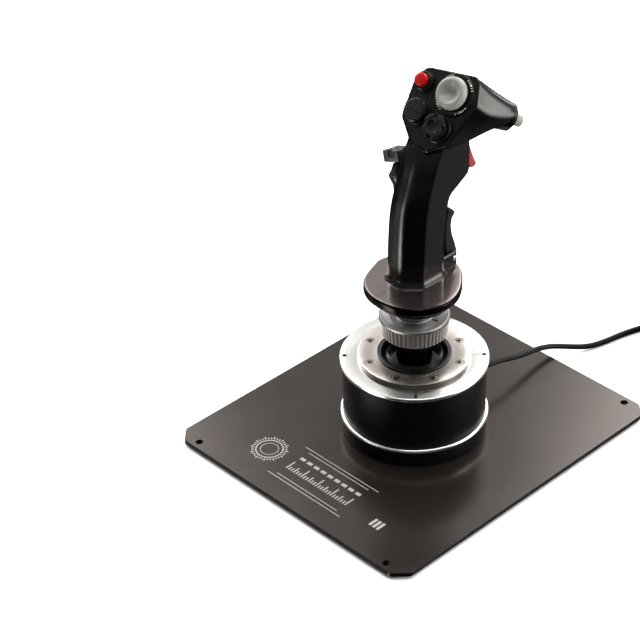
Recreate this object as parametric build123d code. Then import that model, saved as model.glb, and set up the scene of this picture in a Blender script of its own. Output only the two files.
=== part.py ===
from build123d import *
import os
from math import cos, pi, radians, sin, tan

# Desktop flight joystick: a heavy base plate, a round housing with a two-axis gimbal, and a
# removable pistol grip that carries four hat switches, a trigger, a paddle and three buttons.
# Frame: millimetres, +Z up, +Y forward (away from the pilot), +X to the pilot's right.
# The origin is the middle of the base plate's footprint, on the desk.

# ---------------------------------------------------------------- driving dimensions
CLEAR = 0.1                    # gap between two pieces of one rigid group
AIR = 0.4                      # gap between pieces that pass each other
RUN = 0.05                     # radial running clearance of a pin or shaft

# Base plate
PLATE_WIDTH = 226.0
PLATE_DEPTH = 260.0
PLATE_THICKNESS = 3.0
PLATE_CORNER_CUT = 10.0
PLATE_HOLE_X = 188.0           # hole to hole
PLATE_HOLE_Y = 247.6
PLATE_HOLE_R = 2.9
FOOT_HEIGHT = 2.0
PLATE_TOP = FOOT_HEIGHT + PLATE_THICKNESS

# Round housing, from the plate up
FOOT_RING_R = 52.0
LOWER_RING_R = 53.2
HOUSING_R = 51.3
HOUSING_WALL = 4.0
TOP_RING_R = 53.0
FOOT_RING_TOP = PLATE_TOP + 12.0
LOWER_RING_TOP = FOOT_RING_TOP + 3.0
HOUSING_TOP = 61.8
TOP_RING_TOP = HOUSING_TOP + 3.0
MOUNT_RING_R = 40.5
MOUNT_RING_TOP = TOP_RING_TOP + 3.0
MOUNT_SCREW_CIRCLE = 34.0
MOUNT_SCREW_COUNT = 8
MOUNT_SCREW_START = -68.4      # degrees from +X of the first mounting-ring screw
SET_SCREW_CIRCLE = 49.4
BEZEL_R = 26.6
BEZEL_BORE = 23.5
BEZEL_TOP = MOUNT_RING_TOP + 1.2

# Gimbal
PIVOT = 45.0                   # height of both gimbal axes
TILT = 15.0                    # stick travel each way on each axis
DOME_R = 30.0
DOME_WALL = 2.5
DOME_SKIRT = 72.0              # polar angle where the dome ends
DOME_RIM = 39.0                # polar angle of the pit's rim
PIT_FLOOR = PIVOT + 14.5
GIMBAL_OUTER = 16.0
GIMBAL_INNER = 12.0
GIMBAL_HEIGHT = 8.0
PIN_R = 2.5
ARM_INNER = 18.5
ARM_OUTER = 23.0
ARM_HALF_WIDTH = 8.0
FLOOR_TOP = 10.0               # top of the cradle's floor
HUB_R = 12.8
DISC_R = 11.0
DISC_DROP = 20.0               # rocker disc face below the pivot
PRESSURE_TOP = PIVOT - 23.1

# Collar and grip foot
HUB_TOP = 92.0
COLLAR_BOTTOM = 86.0
COLLAR_TOP = 106.0
COLLAR_R = 25.0
COLLAR_RIBS = 48
NECK_R = 10.8
NECK_SPIGOT_R = 10.0           # part of the neck that the two grip halves clamp
NECK_BORE = 7.5
REST_BOTTOM = 121.5
REST_STEP = 126.0
REST_TOP = 132.5
WALL = 3.0

# Thumb face of the head: its plane, and where each control sits on it (across, up)
FACE_AZIMUTH = 8.0
FACE_RISE = 39.0
FACE_ORIGIN = Vector(0, -4.3, 223.3)
TRIM_AT = (13.1, 51.0)
WEAPON_AT = (-11.6, 53.0)
DATA_AT = (-8.2, 33.0)
TARGET_AT = (10.8, 26.6)
HAT_PIVOT_DEPTH = 6.5
HAT_TILT = 7.0

# Nose
NOSE_AXIS = Vector(0.50, 0.72, -0.48).normalized()
NOSE_TIP = Vector(28.8, 62.4, 241.0)
NOSE_R = 9.4

# Trigger and paddle hinges (Y, Z)
TRIGGER_PIN = (34.0, 223.0)
PADDLE_PIN = (28.0, 138.0)
LEVER_PIN_R = 1.5

# Cord
CORD_R = 2.1
CORD_EXIT_ANGLE = 8.0          # degrees from +Y towards +X
CORD_EXIT_Z = 26.0
RELIEF_TIP = 66.0              # radius of the strain relief's tip
COIL_CENTRE = (75.2, 219.9)
COIL_MID_R = 24.0
COIL_ROWS = 3
COIL_LAYERS = 4
CORD_ROUTE = [                 # from the strain relief to the coil
    (11.1, 79.0, 25.0),
    (12.8, 92.5, 21.0),
    (12.6, 107.0, 17.4),
    (12.2, 121.5, 14.4),
    (14.6, 135.5, 10.6),
    (20.2, 148.5, 6.0),
    (27.0, 161.5, 2.6),
    (31.4, 176.0, 2.1),
    (34.0, 191.0, 2.1),
    (38.2, 206.5, 2.1),
    (45.5, 223.0, 2.1),
]
CORD_TAIL = [                  # from the top of the coil down to the plug
    (103.4, 213.0, 14.7),
    (103.6, 204.0, 14.0),
    (103.9, 195.5, 9.9),
    (104.2, 187.0, 5.4),
    (104.5, 178.0, 4.1),
]


# ---------------------------------------------------------------- helpers
def rod(radius, z0, z1, x=0.0, y=0.0):
    """Upright cylinder between two heights."""
    return Pos(x, y, z0) * Cylinder(radius, z1 - z0, align=(Align.CENTER, Align.CENTER, Align.MIN))


def ring(outer, inner, z0, z1):
    """Upright ring between two heights."""
    return rod(outer, z0, z1) - rod(inner, z0 - 1, z1 + 1)


def rod_along(start, end, radius):
    """Cylinder from one point to another."""
    start, end = Vector(*start), Vector(*end)
    place = Plane(origin=start, z_dir=end - start)
    return place.location * Cylinder(
        radius, (end - start).length, align=(Align.CENTER, Align.CENTER, Align.MIN)
    )


def block(x0, x1, y0, y1, z0, z1):
    """Box between two corners."""
    return Pos((x0 + x1) / 2, (y0 + y1) / 2, (z0 + z1) / 2) * Box(x1 - x0, y1 - y0, z1 - z0)


def turned(*profile):
    """Solid of revolution about Z from (radius, height) points."""
    outline = Polyline(*[(r, 0, z) for r, z in profile], close=True)
    return revolve(make_face(outline), Axis.Z)


def polar(radius, angle, height=0.0):
    """Point on a circle about Z, angle in degrees from +X."""
    return (radius * cos(radians(angle)), radius * sin(radians(angle)), height)


def rounded_face(points, radii, plane=Plane.XY):
    """Face with rounded corners on a plane, from its corner points."""
    return make_face(plane.location * FilletPolyline(*points, radius=radii, close=True))


def inset(points, amount):
    """Move each corner of a clockwise or anticlockwise outline inwards by the same offset."""
    area = sum(a[0] * b[1] - b[0] * a[1] for a, b in zip(points, points[1:] + points[:1]))
    side = 1 if area > 0 else -1
    moved = []
    for before, here, after in zip(points[-1:] + points[:-1], points, points[1:] + points[:1]):
        first = Vector(here[0] - before[0], here[1] - before[1]).normalized()
        second = Vector(after[0] - here[0], after[1] - here[1]).normalized()
        normal = Vector(-first.Y - second.Y, first.X + second.X).normalized() * side
        reach = amount / max(0.2, abs(normal.X * -first.Y + normal.Y * first.X))
        moved.append((here[0] + normal.X * reach, here[1] + normal.Y * reach))
    return moved


def mirrored_pair(shape, plane):
    """A shape and its mirror image, as two solids."""
    return [shape, mirror(shape, about=plane)]


# ---------------------------------------------------------------- base
def plate_outline(inward=0.0):
    half_x = PLATE_WIDTH / 2 - inward
    half_y = PLATE_DEPTH / 2 - inward
    cut = PLATE_CORNER_CUT
    corners = [
        (half_x - cut, -half_y), (half_x, -half_y + cut), (half_x, half_y - cut),
        (half_x - cut, half_y), (-half_x + cut, half_y), (-half_x, half_y - cut),
        (-half_x, -half_y + cut), (-half_x + cut, -half_y),
    ]
    return rounded_face(corners, [5.0] * 8)


def base_plate():
    plate = Pos(0, 0, FOOT_HEIGHT) * extrude(plate_outline(), PLATE_THICKNESS)
    plate = chamfer(plate.faces().sort_by(Axis.Z)[-1].outer_wire().edges(), 0.4)
    for x in (-PLATE_HOLE_X / 2, PLATE_HOLE_X / 2):
        for y in (-PLATE_HOLE_Y / 2, PLATE_HOLE_Y / 2):
            plate -= rod(PLATE_HOLE_R, 0, PLATE_TOP + 1, x, y)
    for angle in range(45, 360, 90):
        x, y, _ = polar(49.0, angle)
        plate -= rod(1.6, 0, PLATE_TOP + 1, x, y)
        plate -= Pos(x, y, FOOT_HEIGHT) * Cone(
            3.2, 1.6, 1.7, align=(Align.CENTER, Align.CENTER, Align.MIN)
        )
    return plate


def rubber_feet():
    feet = []
    for x in (-72.0, 72.0):
        for y in (-106.0, 0.0, 106.0):
            feet.append(turned((0, 0), (8.4, 0), (9, 0.6), (9, FOOT_HEIGHT), (0, FOOT_HEIGHT)).moved(
                Location((x, y, 0))))
    return feet


def base_screws():
    """Countersunk screws from under the plate up into the foot ring."""
    screws = []
    for angle in range(45, 360, 90):
        x, y, _ = polar(49.0, angle)
        screw = turned((0, FOOT_HEIGHT + 0.1), (2.9, FOOT_HEIGHT + 0.1), (1.5, FOOT_HEIGHT + 1.6),
                       (1.5, FOOT_RING_TOP - 3), (0, FOOT_RING_TOP - 3))
        screw -= rod(1.0, FOOT_HEIGHT, FOOT_HEIGHT + 1.1)
        screws.append(screw.moved(Location((x, y, 0))))
    return screws


def foot_ring():
    body = ring(FOOT_RING_R, 46.0, PLATE_TOP, FOOT_RING_TOP)
    body = chamfer(body.edges().group_by(Axis.Z)[0].sort_by(SortBy.LENGTH)[-1], 0.8)
    for angle in range(45, 360, 90):
        x, y, _ = polar(49.0, angle)
        body -= rod(1.55, PLATE_TOP - 1, FOOT_RING_TOP - 2.5, x, y)
    return body


def bottom_cover():
    return rod(45.8, PLATE_TOP, PLATE_TOP + 2)


def lower_ring():
    body = ring(LOWER_RING_R, 46.0, FOOT_RING_TOP, LOWER_RING_TOP)
    return fillet(body.edges().sort_by(SortBy.LENGTH)[-2:], 1.2)


def cord_exit_point(radius, height=CORD_EXIT_Z):
    return polar(radius, 90 - CORD_EXIT_ANGLE, height)


def housing_shell():
    body = ring(HOUSING_R, HOUSING_R - HOUSING_WALL, LOWER_RING_TOP, HOUSING_TOP)
    body -= rod_along(cord_exit_point(40), cord_exit_point(60), 3.7)
    for angle in range(45, 360, 90):
        x, y, _ = polar(SET_SCREW_CIRCLE, angle)
        body -= rod(1.25, HOUSING_TOP - 8, HOUSING_TOP + 1, x, y)
    return body


def top_ring():
    body = ring(TOP_RING_R, 27.5, HOUSING_TOP, TOP_RING_TOP)
    body = fillet(body.edges().sort_by(SortBy.LENGTH)[-2:], 0.9)
    for angle in range(45, 360, 90):
        x, y, _ = polar(SET_SCREW_CIRCLE, angle)
        body -= rod(1.25, HOUSING_TOP - 1, TOP_RING_TOP + 1, x, y)
    for x, y in mount_screw_places():
        body -= rod(1.55, HOUSING_TOP - 1, TOP_RING_TOP + 1, x, y)
    return body


def set_screws():
    screws = []
    for angle in range(45, 360, 90):
        x, y, _ = polar(SET_SCREW_CIRCLE, angle)
        screw = rod(1.2, HOUSING_TOP - 7, TOP_RING_TOP - 0.8, x, y)
        screws.append(screw - rod(0.6, TOP_RING_TOP - 2.2, TOP_RING_TOP, x, y))
    return screws


def mount_screw_places():
    places = []
    for i in range(MOUNT_SCREW_COUNT):
        x, y, _ = polar(MOUNT_SCREW_CIRCLE, MOUNT_SCREW_START + i * 360 / MOUNT_SCREW_COUNT)
        places.append((x, y))
    return places


def mounting_ring():
    body = ring(MOUNT_RING_R, BEZEL_R - 1.1, TOP_RING_TOP, MOUNT_RING_TOP)
    body = chamfer(body.edges().group_by(Axis.Z)[-1].sort_by(SortBy.LENGTH)[-1], 0.5)
    for x, y in mount_screw_places():
        body -= rod(1.6, TOP_RING_TOP - 1, MOUNT_RING_TOP + 1, x, y)
        body -= Pos(x, y, MOUNT_RING_TOP - 1.5) * Cone(
            1.6, 3.1, 1.5, align=(Align.CENTER, Align.CENTER, Align.MIN)
        )
    return body


def mounting_ring_screws():
    head_top = MOUNT_RING_TOP - 0.1
    screws = []
    for x, y in mount_screw_places():
        screw = turned((0, HOUSING_TOP - 2), (1.5, HOUSING_TOP - 2), (1.5, MOUNT_RING_TOP - 1.45),
                       (2.8, head_top - 0.1), (0, head_top - 0.1))
        socket = Pos(0, 0, head_top - 1.3) * extrude(RegularPolygon(1.1, 6), 2)
        screws.append((screw - socket).moved(Location((x, y, 0))))
    return screws


def dust_bezel():
    return turned(
        (BEZEL_BORE, TOP_RING_TOP), (BEZEL_R - 1.2, TOP_RING_TOP),
        (BEZEL_R - 1.2, MOUNT_RING_TOP + 0.05), (BEZEL_R, MOUNT_RING_TOP + 0.05),
        (BEZEL_R - 0.2, BEZEL_TOP - 0.4), (BEZEL_R - 0.8, BEZEL_TOP),
        (BEZEL_BORE + 0.6, BEZEL_TOP), (BEZEL_BORE, BEZEL_TOP - 0.6),
    )


# ---------------------------------------------------------------- gimbal
def sphere_arc(radius, first, middle, last):
    """Arc of a dome about the pivot, between polar angles."""
    points = [
        (radius * sin(radians(a)), 0, PIVOT + radius * cos(radians(a))) for a in (first, middle, last)
    ]
    return ThreePointArc(*points)


def dust_dome():
    """Ball-shaped cover on the stick: a skirt under the bezel and a pit around the neck."""
    inner_r = DOME_R - DOME_WALL
    middle = (DOME_RIM + DOME_SKIRT) / 2
    outer = sphere_arc(DOME_R, DOME_RIM, middle, DOME_SKIRT)
    inner = sphere_arc(inner_r, DOME_SKIRT, middle, DOME_RIM + 4)
    floor_top = PIT_FLOOR + DOME_WALL
    edge = HUB_R + CLEAR
    lines = [
        outer, Line(outer @ 1, inner @ 0), inner,
        Polyline(inner @ 1, (18.2, 0, PIT_FLOOR + 0.5), (17.7, 0, PIT_FLOOR), (edge, 0, PIT_FLOOR),
                 (edge, 0, floor_top), (15.8, 0, floor_top), outer @ 0),
    ]
    return revolve(make_face(Curve() + lines), Axis.Z)


def gimbal_cradle():
    body = rod(26.0, PLATE_TOP + 2, FLOOR_TOP)
    body += rod(4.0, FLOOR_TOP - 1, FLOOR_TOP + 2)
    top = PIVOT + 4.6
    for side in (-1, 1):
        x0, x1 = sorted((side * ARM_INNER, side * ARM_OUTER))
        arm = block(x0, x1, -ARM_HALF_WIDTH, ARM_HALF_WIDTH, FLOOR_TOP - 1, top)
        arm = fillet(arm.edges().filter_by(Axis.X).group_by(Axis.Z)[-1], 3.5)
        body += arm
    body -= rod_along((-40, 0, PIVOT), (40, 0, PIVOT), PIN_R + RUN)
    for x in (-10.5, 10.5):
        for y in (-23.0, 23.0):
            body -= rod(2.0, 0, FLOOR_TOP + 1, x, y)
    return body


def gimbal_ring():
    body = ring(GIMBAL_OUTER, GIMBAL_INNER, PIVOT - GIMBAL_HEIGHT / 2, PIVOT + GIMBAL_HEIGHT / 2)
    body -= rod_along((-30, 0, PIVOT), (30, 0, PIVOT), PIN_R + 0.02)
    body -= rod_along((0, -30, PIVOT), (0, 30, PIVOT), PIN_R + 0.02)
    return body


def gimbal_pins():
    pins = []
    for side in (-1, 1):
        pins.append(rod_along((side * 12.3, 0, PIVOT), (side * 22.8, 0, PIVOT), PIN_R))
        pins.append(rod_along((0, side * 5.5, PIVOT), (0, side * 15.6, PIVOT), PIN_R))
    return pins


def stick_hub():
    """Yoke block, neck and threaded head of the stick, one casting."""
    body = turned(
        (0, PIVOT - 8), (9, PIVOT - 8), (9, 55.5), (15, 57.6), (15, PIT_FLOOR - CLEAR),
        (HUB_R, PIT_FLOOR - CLEAR), (HUB_R, 77), (14.5, 81), (19.5, 84.5), (19.5, HUB_TOP),
        (0, HUB_TOP),
    )
    body -= rod_along((0, -20, PIVOT), (0, 20, PIVOT), PIN_R + RUN)
    body -= rod(6.0, 76, HUB_TOP + 1)
    body -= rod(4.05, PIVOT - 9, PIVOT - 4)
    return body


def rocker_disc():
    bottom = PIVOT - DISC_DROP
    body = rod(4.0, bottom, PIVOT - 4.1)
    body += turned((0, bottom), (DISC_R - 0.8, bottom), (DISC_R, bottom + 0.8), (DISC_R, bottom + 3),
                   (5.5, bottom + 4.5), (0, bottom + 4.5))
    return body - rod(3.05, bottom - 1, bottom + 2.9)


def rocker_magnet():
    bottom = PIVOT - DISC_DROP
    return rod(3.0, bottom + 0.1, bottom + 2.8)


def spring_corners():
    return [(x, y) for x in (-10.5, 10.5) for y in (-23.0, 23.0)]


def pressure_plate():
    body = block(-15.5, 15.5, -28, 28, PRESSURE_TOP - 2.4, PRESSURE_TOP)
    body = fillet(body.edges().filter_by(Axis.Z), 3)
    body -= rod(7.0, 0, 60)
    for x, y in spring_corners():
        body -= rod(2.0 + AIR, 0, 60, x, y)
    return body


def guide_posts():
    posts = []
    for x, y in spring_corners():
        posts.append(rod(1.9, PLATE_TOP + 2.2, PRESSURE_TOP + 1.6, x, y)
                     + rod(3.2, PRESSURE_TOP + 0.5, PRESSURE_TOP + 1.8, x, y))
    return posts


def coil_spring(radius, wire, z0, z1, turns, x=0.0, y=0.0):
    path = Helix((z1 - z0 - 2 * wire) / turns, z1 - z0 - 2 * wire, radius, center=(x, y, z0 + wire))
    section = Plane(origin=path @ 0, z_dir=path % 0).location * Circle(wire)
    return sweep(section, path, is_frenet=True)


def corner_springs():
    return [
        coil_spring(3.3, 0.4, FLOOR_TOP + 0.1, PRESSURE_TOP - 2.5, 4, x, y) for x, y in spring_corners()
    ]


def centre_spring():
    return coil_spring(12.0, 0.9, FLOOR_TOP + 0.1, PRESSURE_TOP - 2.5, 3)


def sensor_board():
    body = block(-6.5, 6.5, -6.5, 6.5, FLOOR_TOP + 2.1, FLOOR_TOP + 3.7)
    return body + block(-2, 2, -2, 2, FLOOR_TOP + 3.6, FLOOR_TOP + 4.7)


def usb_board():
    body = block(-14, 14, 28, 41.5, 12.4, 14)
    body += block(-4, 8, 33, 41, 13.9, 17.5)
    for x in (-11.0, 11.0):
        body += rod(1.8, PLATE_TOP + 2.1, 12.5, x, 35)
    return body


# ---------------------------------------------------------------- collar and grip foot
def collar_nut():
    """Knurled ring nut that pulls the grip's foot down on the hub."""
    bore = 19.9
    body = turned(
        (bore, COLLAR_BOTTOM), (23.0, COLLAR_BOTTOM), (24.6, 98.0), (COLLAR_R, 98.6), (COLLAR_R, 100.2),
        (24.2, 101.2), (22.8, 101.2), (13.4, 99.8), (12.6, 100.6), (12.6, COLLAR_TOP - 0.6),
        (12.0, COLLAR_TOP), (NECK_R + AIR, COLLAR_TOP),
        (NECK_R + AIR, 97.6), (bore, 97.6),
    )
    for i in range(COLLAR_RIBS):
        angle = i * 360 / COLLAR_RIBS
        body -= rod_along(polar(23.5, angle, COLLAR_BOTTOM - 1), polar(25.25, angle, 98.2), 0.62)
    return body


def grip_neck():
    """Flanged tube at the foot of the grip, held by the collar nut."""
    return turned(
        (NECK_BORE, HUB_TOP + CLEAR), (19.4, HUB_TOP + CLEAR), (19.4, 96.8), (NECK_R, 96.8),
        (NECK_R, REST_BOTTOM - CLEAR), (NECK_SPIGOT_R, REST_BOTTOM - CLEAR), (NECK_SPIGOT_R, 128),
        (NECK_BORE, 128),
    )


REST_OUTLINE = [
    (-30.4, 2), (-28.6, -12), (-20.4, -29.3), (-7, -38.4), (8, -40), (21, -36.8),
    (34.2, -26.8), (40.2, -9), (35, 9), (19, 27), (1, 33), (-17, 26.5),
]


def rest_face(inward=0.0):
    """Outline of the hand rest, drawn in towards the grip by an amount."""
    centre = Vector(4, -4)
    points = []
    for x, y in REST_OUTLINE:
        arm = Vector(x, y) - centre
        points.append(tuple(centre + arm * ((arm.length - inward) / arm.length))[:2])
    return make_face(Spline(*points, periodic=True))


def hand_rest():
    """Broad shelf around the foot of the grip, two stepped layers."""
    upper = Pos(0, 0, REST_STEP) * extrude(rest_face(), REST_TOP - REST_STEP)
    upper = fillet(upper.faces().sort_by(Axis.Z)[-1].edges(), 2.2)
    lower = Pos(0, 0, REST_BOTTOM) * extrude(rest_face(4.0), REST_STEP - REST_BOTTOM + 0.5)
    return upper + lower


# Grip column: height, rear, ridge and front in Y, then the left and right sides in X
COLUMN = [
    (129.5, -17.5, -7.5, 17.5, -14.0, 15.0),
    (150.0, -17.2, -6.2, 17.4, -14.0, 15.0),
    (172.0, -16.0, -5.2, 19.6, -14.0, 15.0),
    (190.5, -13.9, -3.1, 23.0, -14.0, 14.6),
    (197.5, -11.6, -1.5, 32.4, -13.7, 14.4),
    (203.0, -9.5, 0.3, 41.4, -13.5, 14.4),
    (209.0, -6.5, 3.0, 42.2, -13.4, 14.4),
    (220.0, -1.5, 8.0, 42.5, -13.6, 14.4),
    (233.0, 6.5, 14.5, 41.5, -14.0, 14.4),
    (244.0, 15.0, 22.0, 38.5, -14.0, 14.4),
]


def column_face(height, rear, ridge, front, left, right, inward=0.0):
    """One level section of the column: round rear, sharp ridge, flat right flank."""
    corners = [
        (right, ridge), (right, front), (left, front), (left, rear), (right - (ridge - rear), rear),
    ]
    radii = [2.0, 7.0, 8.5, 10.0, 7.0]
    if inward:
        corners = inset(corners, inward)
        radii = [1.0, 4.0, 5.5, 7.0, 4.5]
    return Pos(0, 0, height) * rounded_face(corners, radii)


def column(inward=0.0):
    rows = COLUMN if not inward else [(127.0, *COLUMN[0][1:])] + COLUMN[:-2] + [(226.0, *COLUMN[-2][1:])]
    return loft([column_face(*row, inward=inward) for row in rows], ruled=True)


def face_plane(depth=0.0):
    """Plane parallel to the thumb face, at a depth behind it."""
    azimuth, rise = radians(FACE_AZIMUTH), radians(FACE_RISE)
    normal = Vector(sin(azimuth) * cos(rise), -cos(azimuth) * cos(rise), sin(rise))
    across = Vector(cos(azimuth), sin(azimuth), 0)
    return Plane(origin=FACE_ORIGIN - normal * depth, x_dir=across, z_dir=normal)


def on_face(place, height=0.0):
    """Location on the thumb face: Z points out of the head, towards the thumb."""
    return face_plane().location * Pos(place[0], place[1], height)


# Thumb face outline and the head's sections behind it: corners as (across, up)
FACE_OUTLINE = [(-14.6, 63), (-20.8, 55.5), (-20, 27), (-5, 11), (9, 9), (21, 18), (31.6, 49), (25.5, 67.6)]
HEAD = [
    (0.0, FACE_OUTLINE),
    (13.0, [(-9, 64), (-18, 55), (-18, 28), (-5, 13), (12, 12), (25, 22), (37, 47), (31.5, 65.7)]),
    (26.0, [(8, 62.5), (0, 54), (0, 40), (8, 33), (20, 32), (33, 36), (43.5, 47), (38.3, 63.6)]),
]
HEAD_RADII = [4.5, 6.0, 6.0, 6.0, 5.0, 5.0, 6.0, 4.5]


def head():
    """Head behind the thumb face, drawn forward and down into the nose."""
    faces = [rounded_face(corners, HEAD_RADII, face_plane(depth)) for depth, corners in HEAD]
    tip = Plane(origin=NOSE_TIP, x_dir=face_plane().x_dir.cross(NOSE_AXIS).cross(NOSE_AXIS) * -1,
                z_dir=-NOSE_AXIS)
    corners = [polar(NOSE_R / cos(pi / 8), 112.5 + i * 45)[:2] for i in range(8)]
    faces.append(rounded_face(corners, [5.5] * 8, tip))
    return loft(faces)


def head_cavity():
    radii = [2.5, 4.0, 4.0, 4.0, 3.0, 3.0, 4.0, 2.5]
    rows = [(3.0, FACE_OUTLINE), (13.0, HEAD[1][1]), (22.0, HEAD[2][1])]
    faces = [rounded_face(inset(corners, WALL), radii, face_plane(d)) for d, corners in rows]
    return loft(faces)


def face_recess(inward, depth, top=1.0):
    radii = [3.0, 4.5, 4.5, 4.5, 3.5, 3.5, 4.5, 3.0]
    face = rounded_face(inset(FACE_OUTLINE, inward), radii, face_plane(depth))
    return extrude(face, depth + top)


def side_hat_plane(height=0.0):
    """Plane of the side hat's boss on the left flank."""
    axis = Vector(-0.34, 0.14, 0.93).normalized()
    across = Vector(0, 1, 0).cross(axis).normalized()
    return Plane(origin=Vector(-20.5, 8.4, 201.3) + axis * height, x_dir=across, z_dir=axis)


def side_boss():
    top = side_hat_plane()
    root = Plane(origin=(-6.5, 9.5, 183.0), z_dir=(-0.34, 0.04, 0.94))
    return loft([root.location * Circle(9.5), top.location * Circle(9.2)])


def lever_slots():
    """Space that the trigger, the finger button and the nose button need in the shell."""
    y, z = TRIGGER_PIN
    slot = block(-2.7, 7.7, y - 6, 60, 204.5, z + 5)
    pin = rod_along((-7, y, z), (12, y, z), LEVER_PIN_R + RUN)
    finger = rod_along((-5.5, 10, 186), (-5.5, 40, 186), 3.5 + AIR)
    nose = rod_along(NOSE_TIP - NOSE_AXIS * 9, NOSE_TIP + NOSE_AXIS * 5, 6.2)
    side = side_hat_plane(-12.5)
    side_room = side.location * Cylinder(7.4, 20, align=(Align.CENTER, Align.CENTER, Align.MIN))
    boot_room = side_hat_plane().location * rod(8.6, 0.0, 8.0)
    return [slot, pin, finger, nose, side_room, boot_room]


def paddle_ears():
    y, z = PADDLE_PIN
    ears = []
    for side in (-1, 1):
        x0, x1 = sorted((side * 8.5, side * 11.0))
        ear = block(x0, x1, 12, y + 3.5, REST_TOP - 1, z + 5)
        ears.append(fillet(ear.edges().filter_by(Axis.X).group_by(Axis.Y)[-1], 2.5))
    return ears


def grip_body():
    body = column() + head() + hand_rest() + side_boss()
    for ear in paddle_ears():
        body += ear
    body -= column(inward=WALL)
    body -= head_cavity()
    body -= face_recess(1.3, 3.0)
    body -= rod(NECK_SPIGOT_R + CLEAR, REST_BOTTOM - 1, 129)
    for space in lever_slots():
        body -= space
    y, z = PADDLE_PIN
    body -= rod_along((-30, y, z), (30, y, z), LEVER_PIN_R + RUN)
    return body


def shell_screw_places():
    return [(8.0, 152.0), (6.0, 178.0), (24.0, 214.0)]


def shell_screws():
    """Screws through the left half into the right half."""
    screws = []
    for y, z in shell_screw_places():
        screws.append(rod_along((-15.2, y, z), (-12.8, y, z), 2.4) + rod_along((-13, y, z), (9, y, z), 1.2))
    return screws


def grip_halves():
    body = grip_body()
    gap = 0.06
    left = body & block(-80, -gap, -80, 120, 80, 320)
    right = body & block(gap, 80, -80, 120, 80, 320)
    for y, z in shell_screw_places():
        post_left = rod_along((-13.2, y, z), (-gap, y, z), 2.6)
        post_right = rod_along((gap, y, z), (13.0, y, z), 2.6)
        left += post_left
        right += post_right
        left -= rod_along((-16, y, z), (-12.7, y, z), 2.5)
        left -= rod_along((-16, y, z), (2, y, z), 1.3)
        right -= rod_along((-2, y, z), (9.3, y, z), 1.3)
    return left, right


def grip_board():
    return block(-7.5, 7.5, -2.0, -0.4, 140, 196)


# ---------------------------------------------------------------- hats and buttons
def hat_stem(top, radius=1.6):
    """Stem from the cap to below the pivot, with the two stub axles that turn in the ring."""
    stem = rod(radius, -HAT_PIVOT_DEPTH - 2.2, top)
    axles = rod_along((0, -2.9, -HAT_PIVOT_DEPTH), (0, 2.9, -HAT_PIVOT_DEPTH), 0.6)
    return stem + axles


def hat_pivot():
    """Small ring between stem and switch box, with two stub axles of its own."""
    body = ring(3.3, 2.1, -HAT_PIVOT_DEPTH - 1.1, -HAT_PIVOT_DEPTH + 1.1)
    body -= rod_along((0, -6, -HAT_PIVOT_DEPTH), (0, 6, -HAT_PIVOT_DEPTH), 0.6 + RUN)
    for side in (-1, 1):
        body += rod_along((side * 3.0, 0, -HAT_PIVOT_DEPTH), (side * 4.6, 0, -HAT_PIVOT_DEPTH), 0.6)
    return body


def hat_switch():
    """Box behind the face that holds the ring's axles and the contacts."""
    body = block(-5, 5, -5, 5, -11.5, -3.1)
    body -= block(-4, 4, -4, 4, -10.5, -4.1)
    body -= rod(3.3, -5, 0)
    body -= rod_along((-6, 0, -HAT_PIVOT_DEPTH), (6, 0, -HAT_PIVOT_DEPTH), 0.6 + RUN)
    return body


def trim_hat_cap():
    """Wide pale thumb disc with a dished dome."""
    dome = Polyline((0, 0, 3.4), (10.4, 0, 3.4), (11.2, 0, 4.2), (11.3, 0, 5.2))
    top = Spline((11.3, 0, 5.2), (8.4, 0, 8.2), (4.6, 0, 9.1), (2.0, 0, 8.5), (0, 0, 8.2))
    face = make_face(Curve() + [dome, top, Line((0, 0, 8.2), (0, 0, 3.4))])
    return revolve(face, Axis.Z) + hat_stem(4)


def trim_hat_ring():
    return turned((3.6, 0), (12.9, 0), (12.9, 0.7), (12.3, 1.2), (3.6, 1.2))


def castellated(radius, thickness, z0, notch_count, notch, deep):
    """Disc with notches around its top edge."""
    body = turned((0, z0), (radius - 0.8, z0), (radius, z0 + 0.8), (radius, z0 + thickness - 0.7),
                  (radius - 0.7, z0 + thickness), (0, z0 + thickness))
    for i in range(notch_count):
        place = Rot(0, 0, i * 360 / notch_count) * Pos(radius, 0, z0 + thickness)
        body -= place * Box(deep * 2, notch, deep * 2)
    return body


def target_hat_cap():
    body = castellated(7.0, 4.2, 4.0, 4, 4.0, 1.7)
    return body - rod(3.4, 7.4, 9) + hat_stem(4.5)


def target_hat_base():
    return turned((3.6, 0), (10.2, 0), (10.2, 1.0), (9.2, 1.9), (3.6, 1.9))


def data_hat_cap():
    """Ribbed round rocker."""
    body = turned((0, 3.0), (7.2, 3.0), (8.2, 3.8), (8.2, 5.2), (6.8, 6.8), (0, 7.2))
    for i in range(-3, 4):
        body -= Pos(0, i * 2.1, 7.0) * Box(20, 0.9, 1.8)
    return body + hat_stem(3.4)


def data_hat_base():
    return turned((3.6, 0), (9.0, 0), (9.0, 0.7), (8.6, 1.2), (3.6, 1.2))


def side_hat_cap():
    """Square hat with a notch across each edge, on the boss of the left flank."""
    body = Pos(0, 0, 8.8) * extrude(rounded_face([(-7, -7), (7, -7), (7, 7), (-7, 7)], [1.5] * 4), 7.6)
    body = chamfer(body.faces().sort_by(Axis.Z)[-1].edges(), 0.7)
    for turn in range(4):
        body -= Rot(0, 0, 90 * turn) * (Pos(7, 0, 15.4) * Box(2.4, 4.4, 6))
    return body + hat_stem(9.3)


def side_hat_boot():
    """Ribbed rubber boot between the boss and the side hat."""
    profile = [(4.1, 0.1), (8.2, 0.1), (8.2, 1.3), (7.0, 1.7), (7.2, 2.8), (6.0, 3.2), (6.0, 4.3),
               (6.2, 5.4), (5.2, 5.8), (5.0, 7.0), (4.1, 7.0)]
    return turned(*profile)


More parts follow.
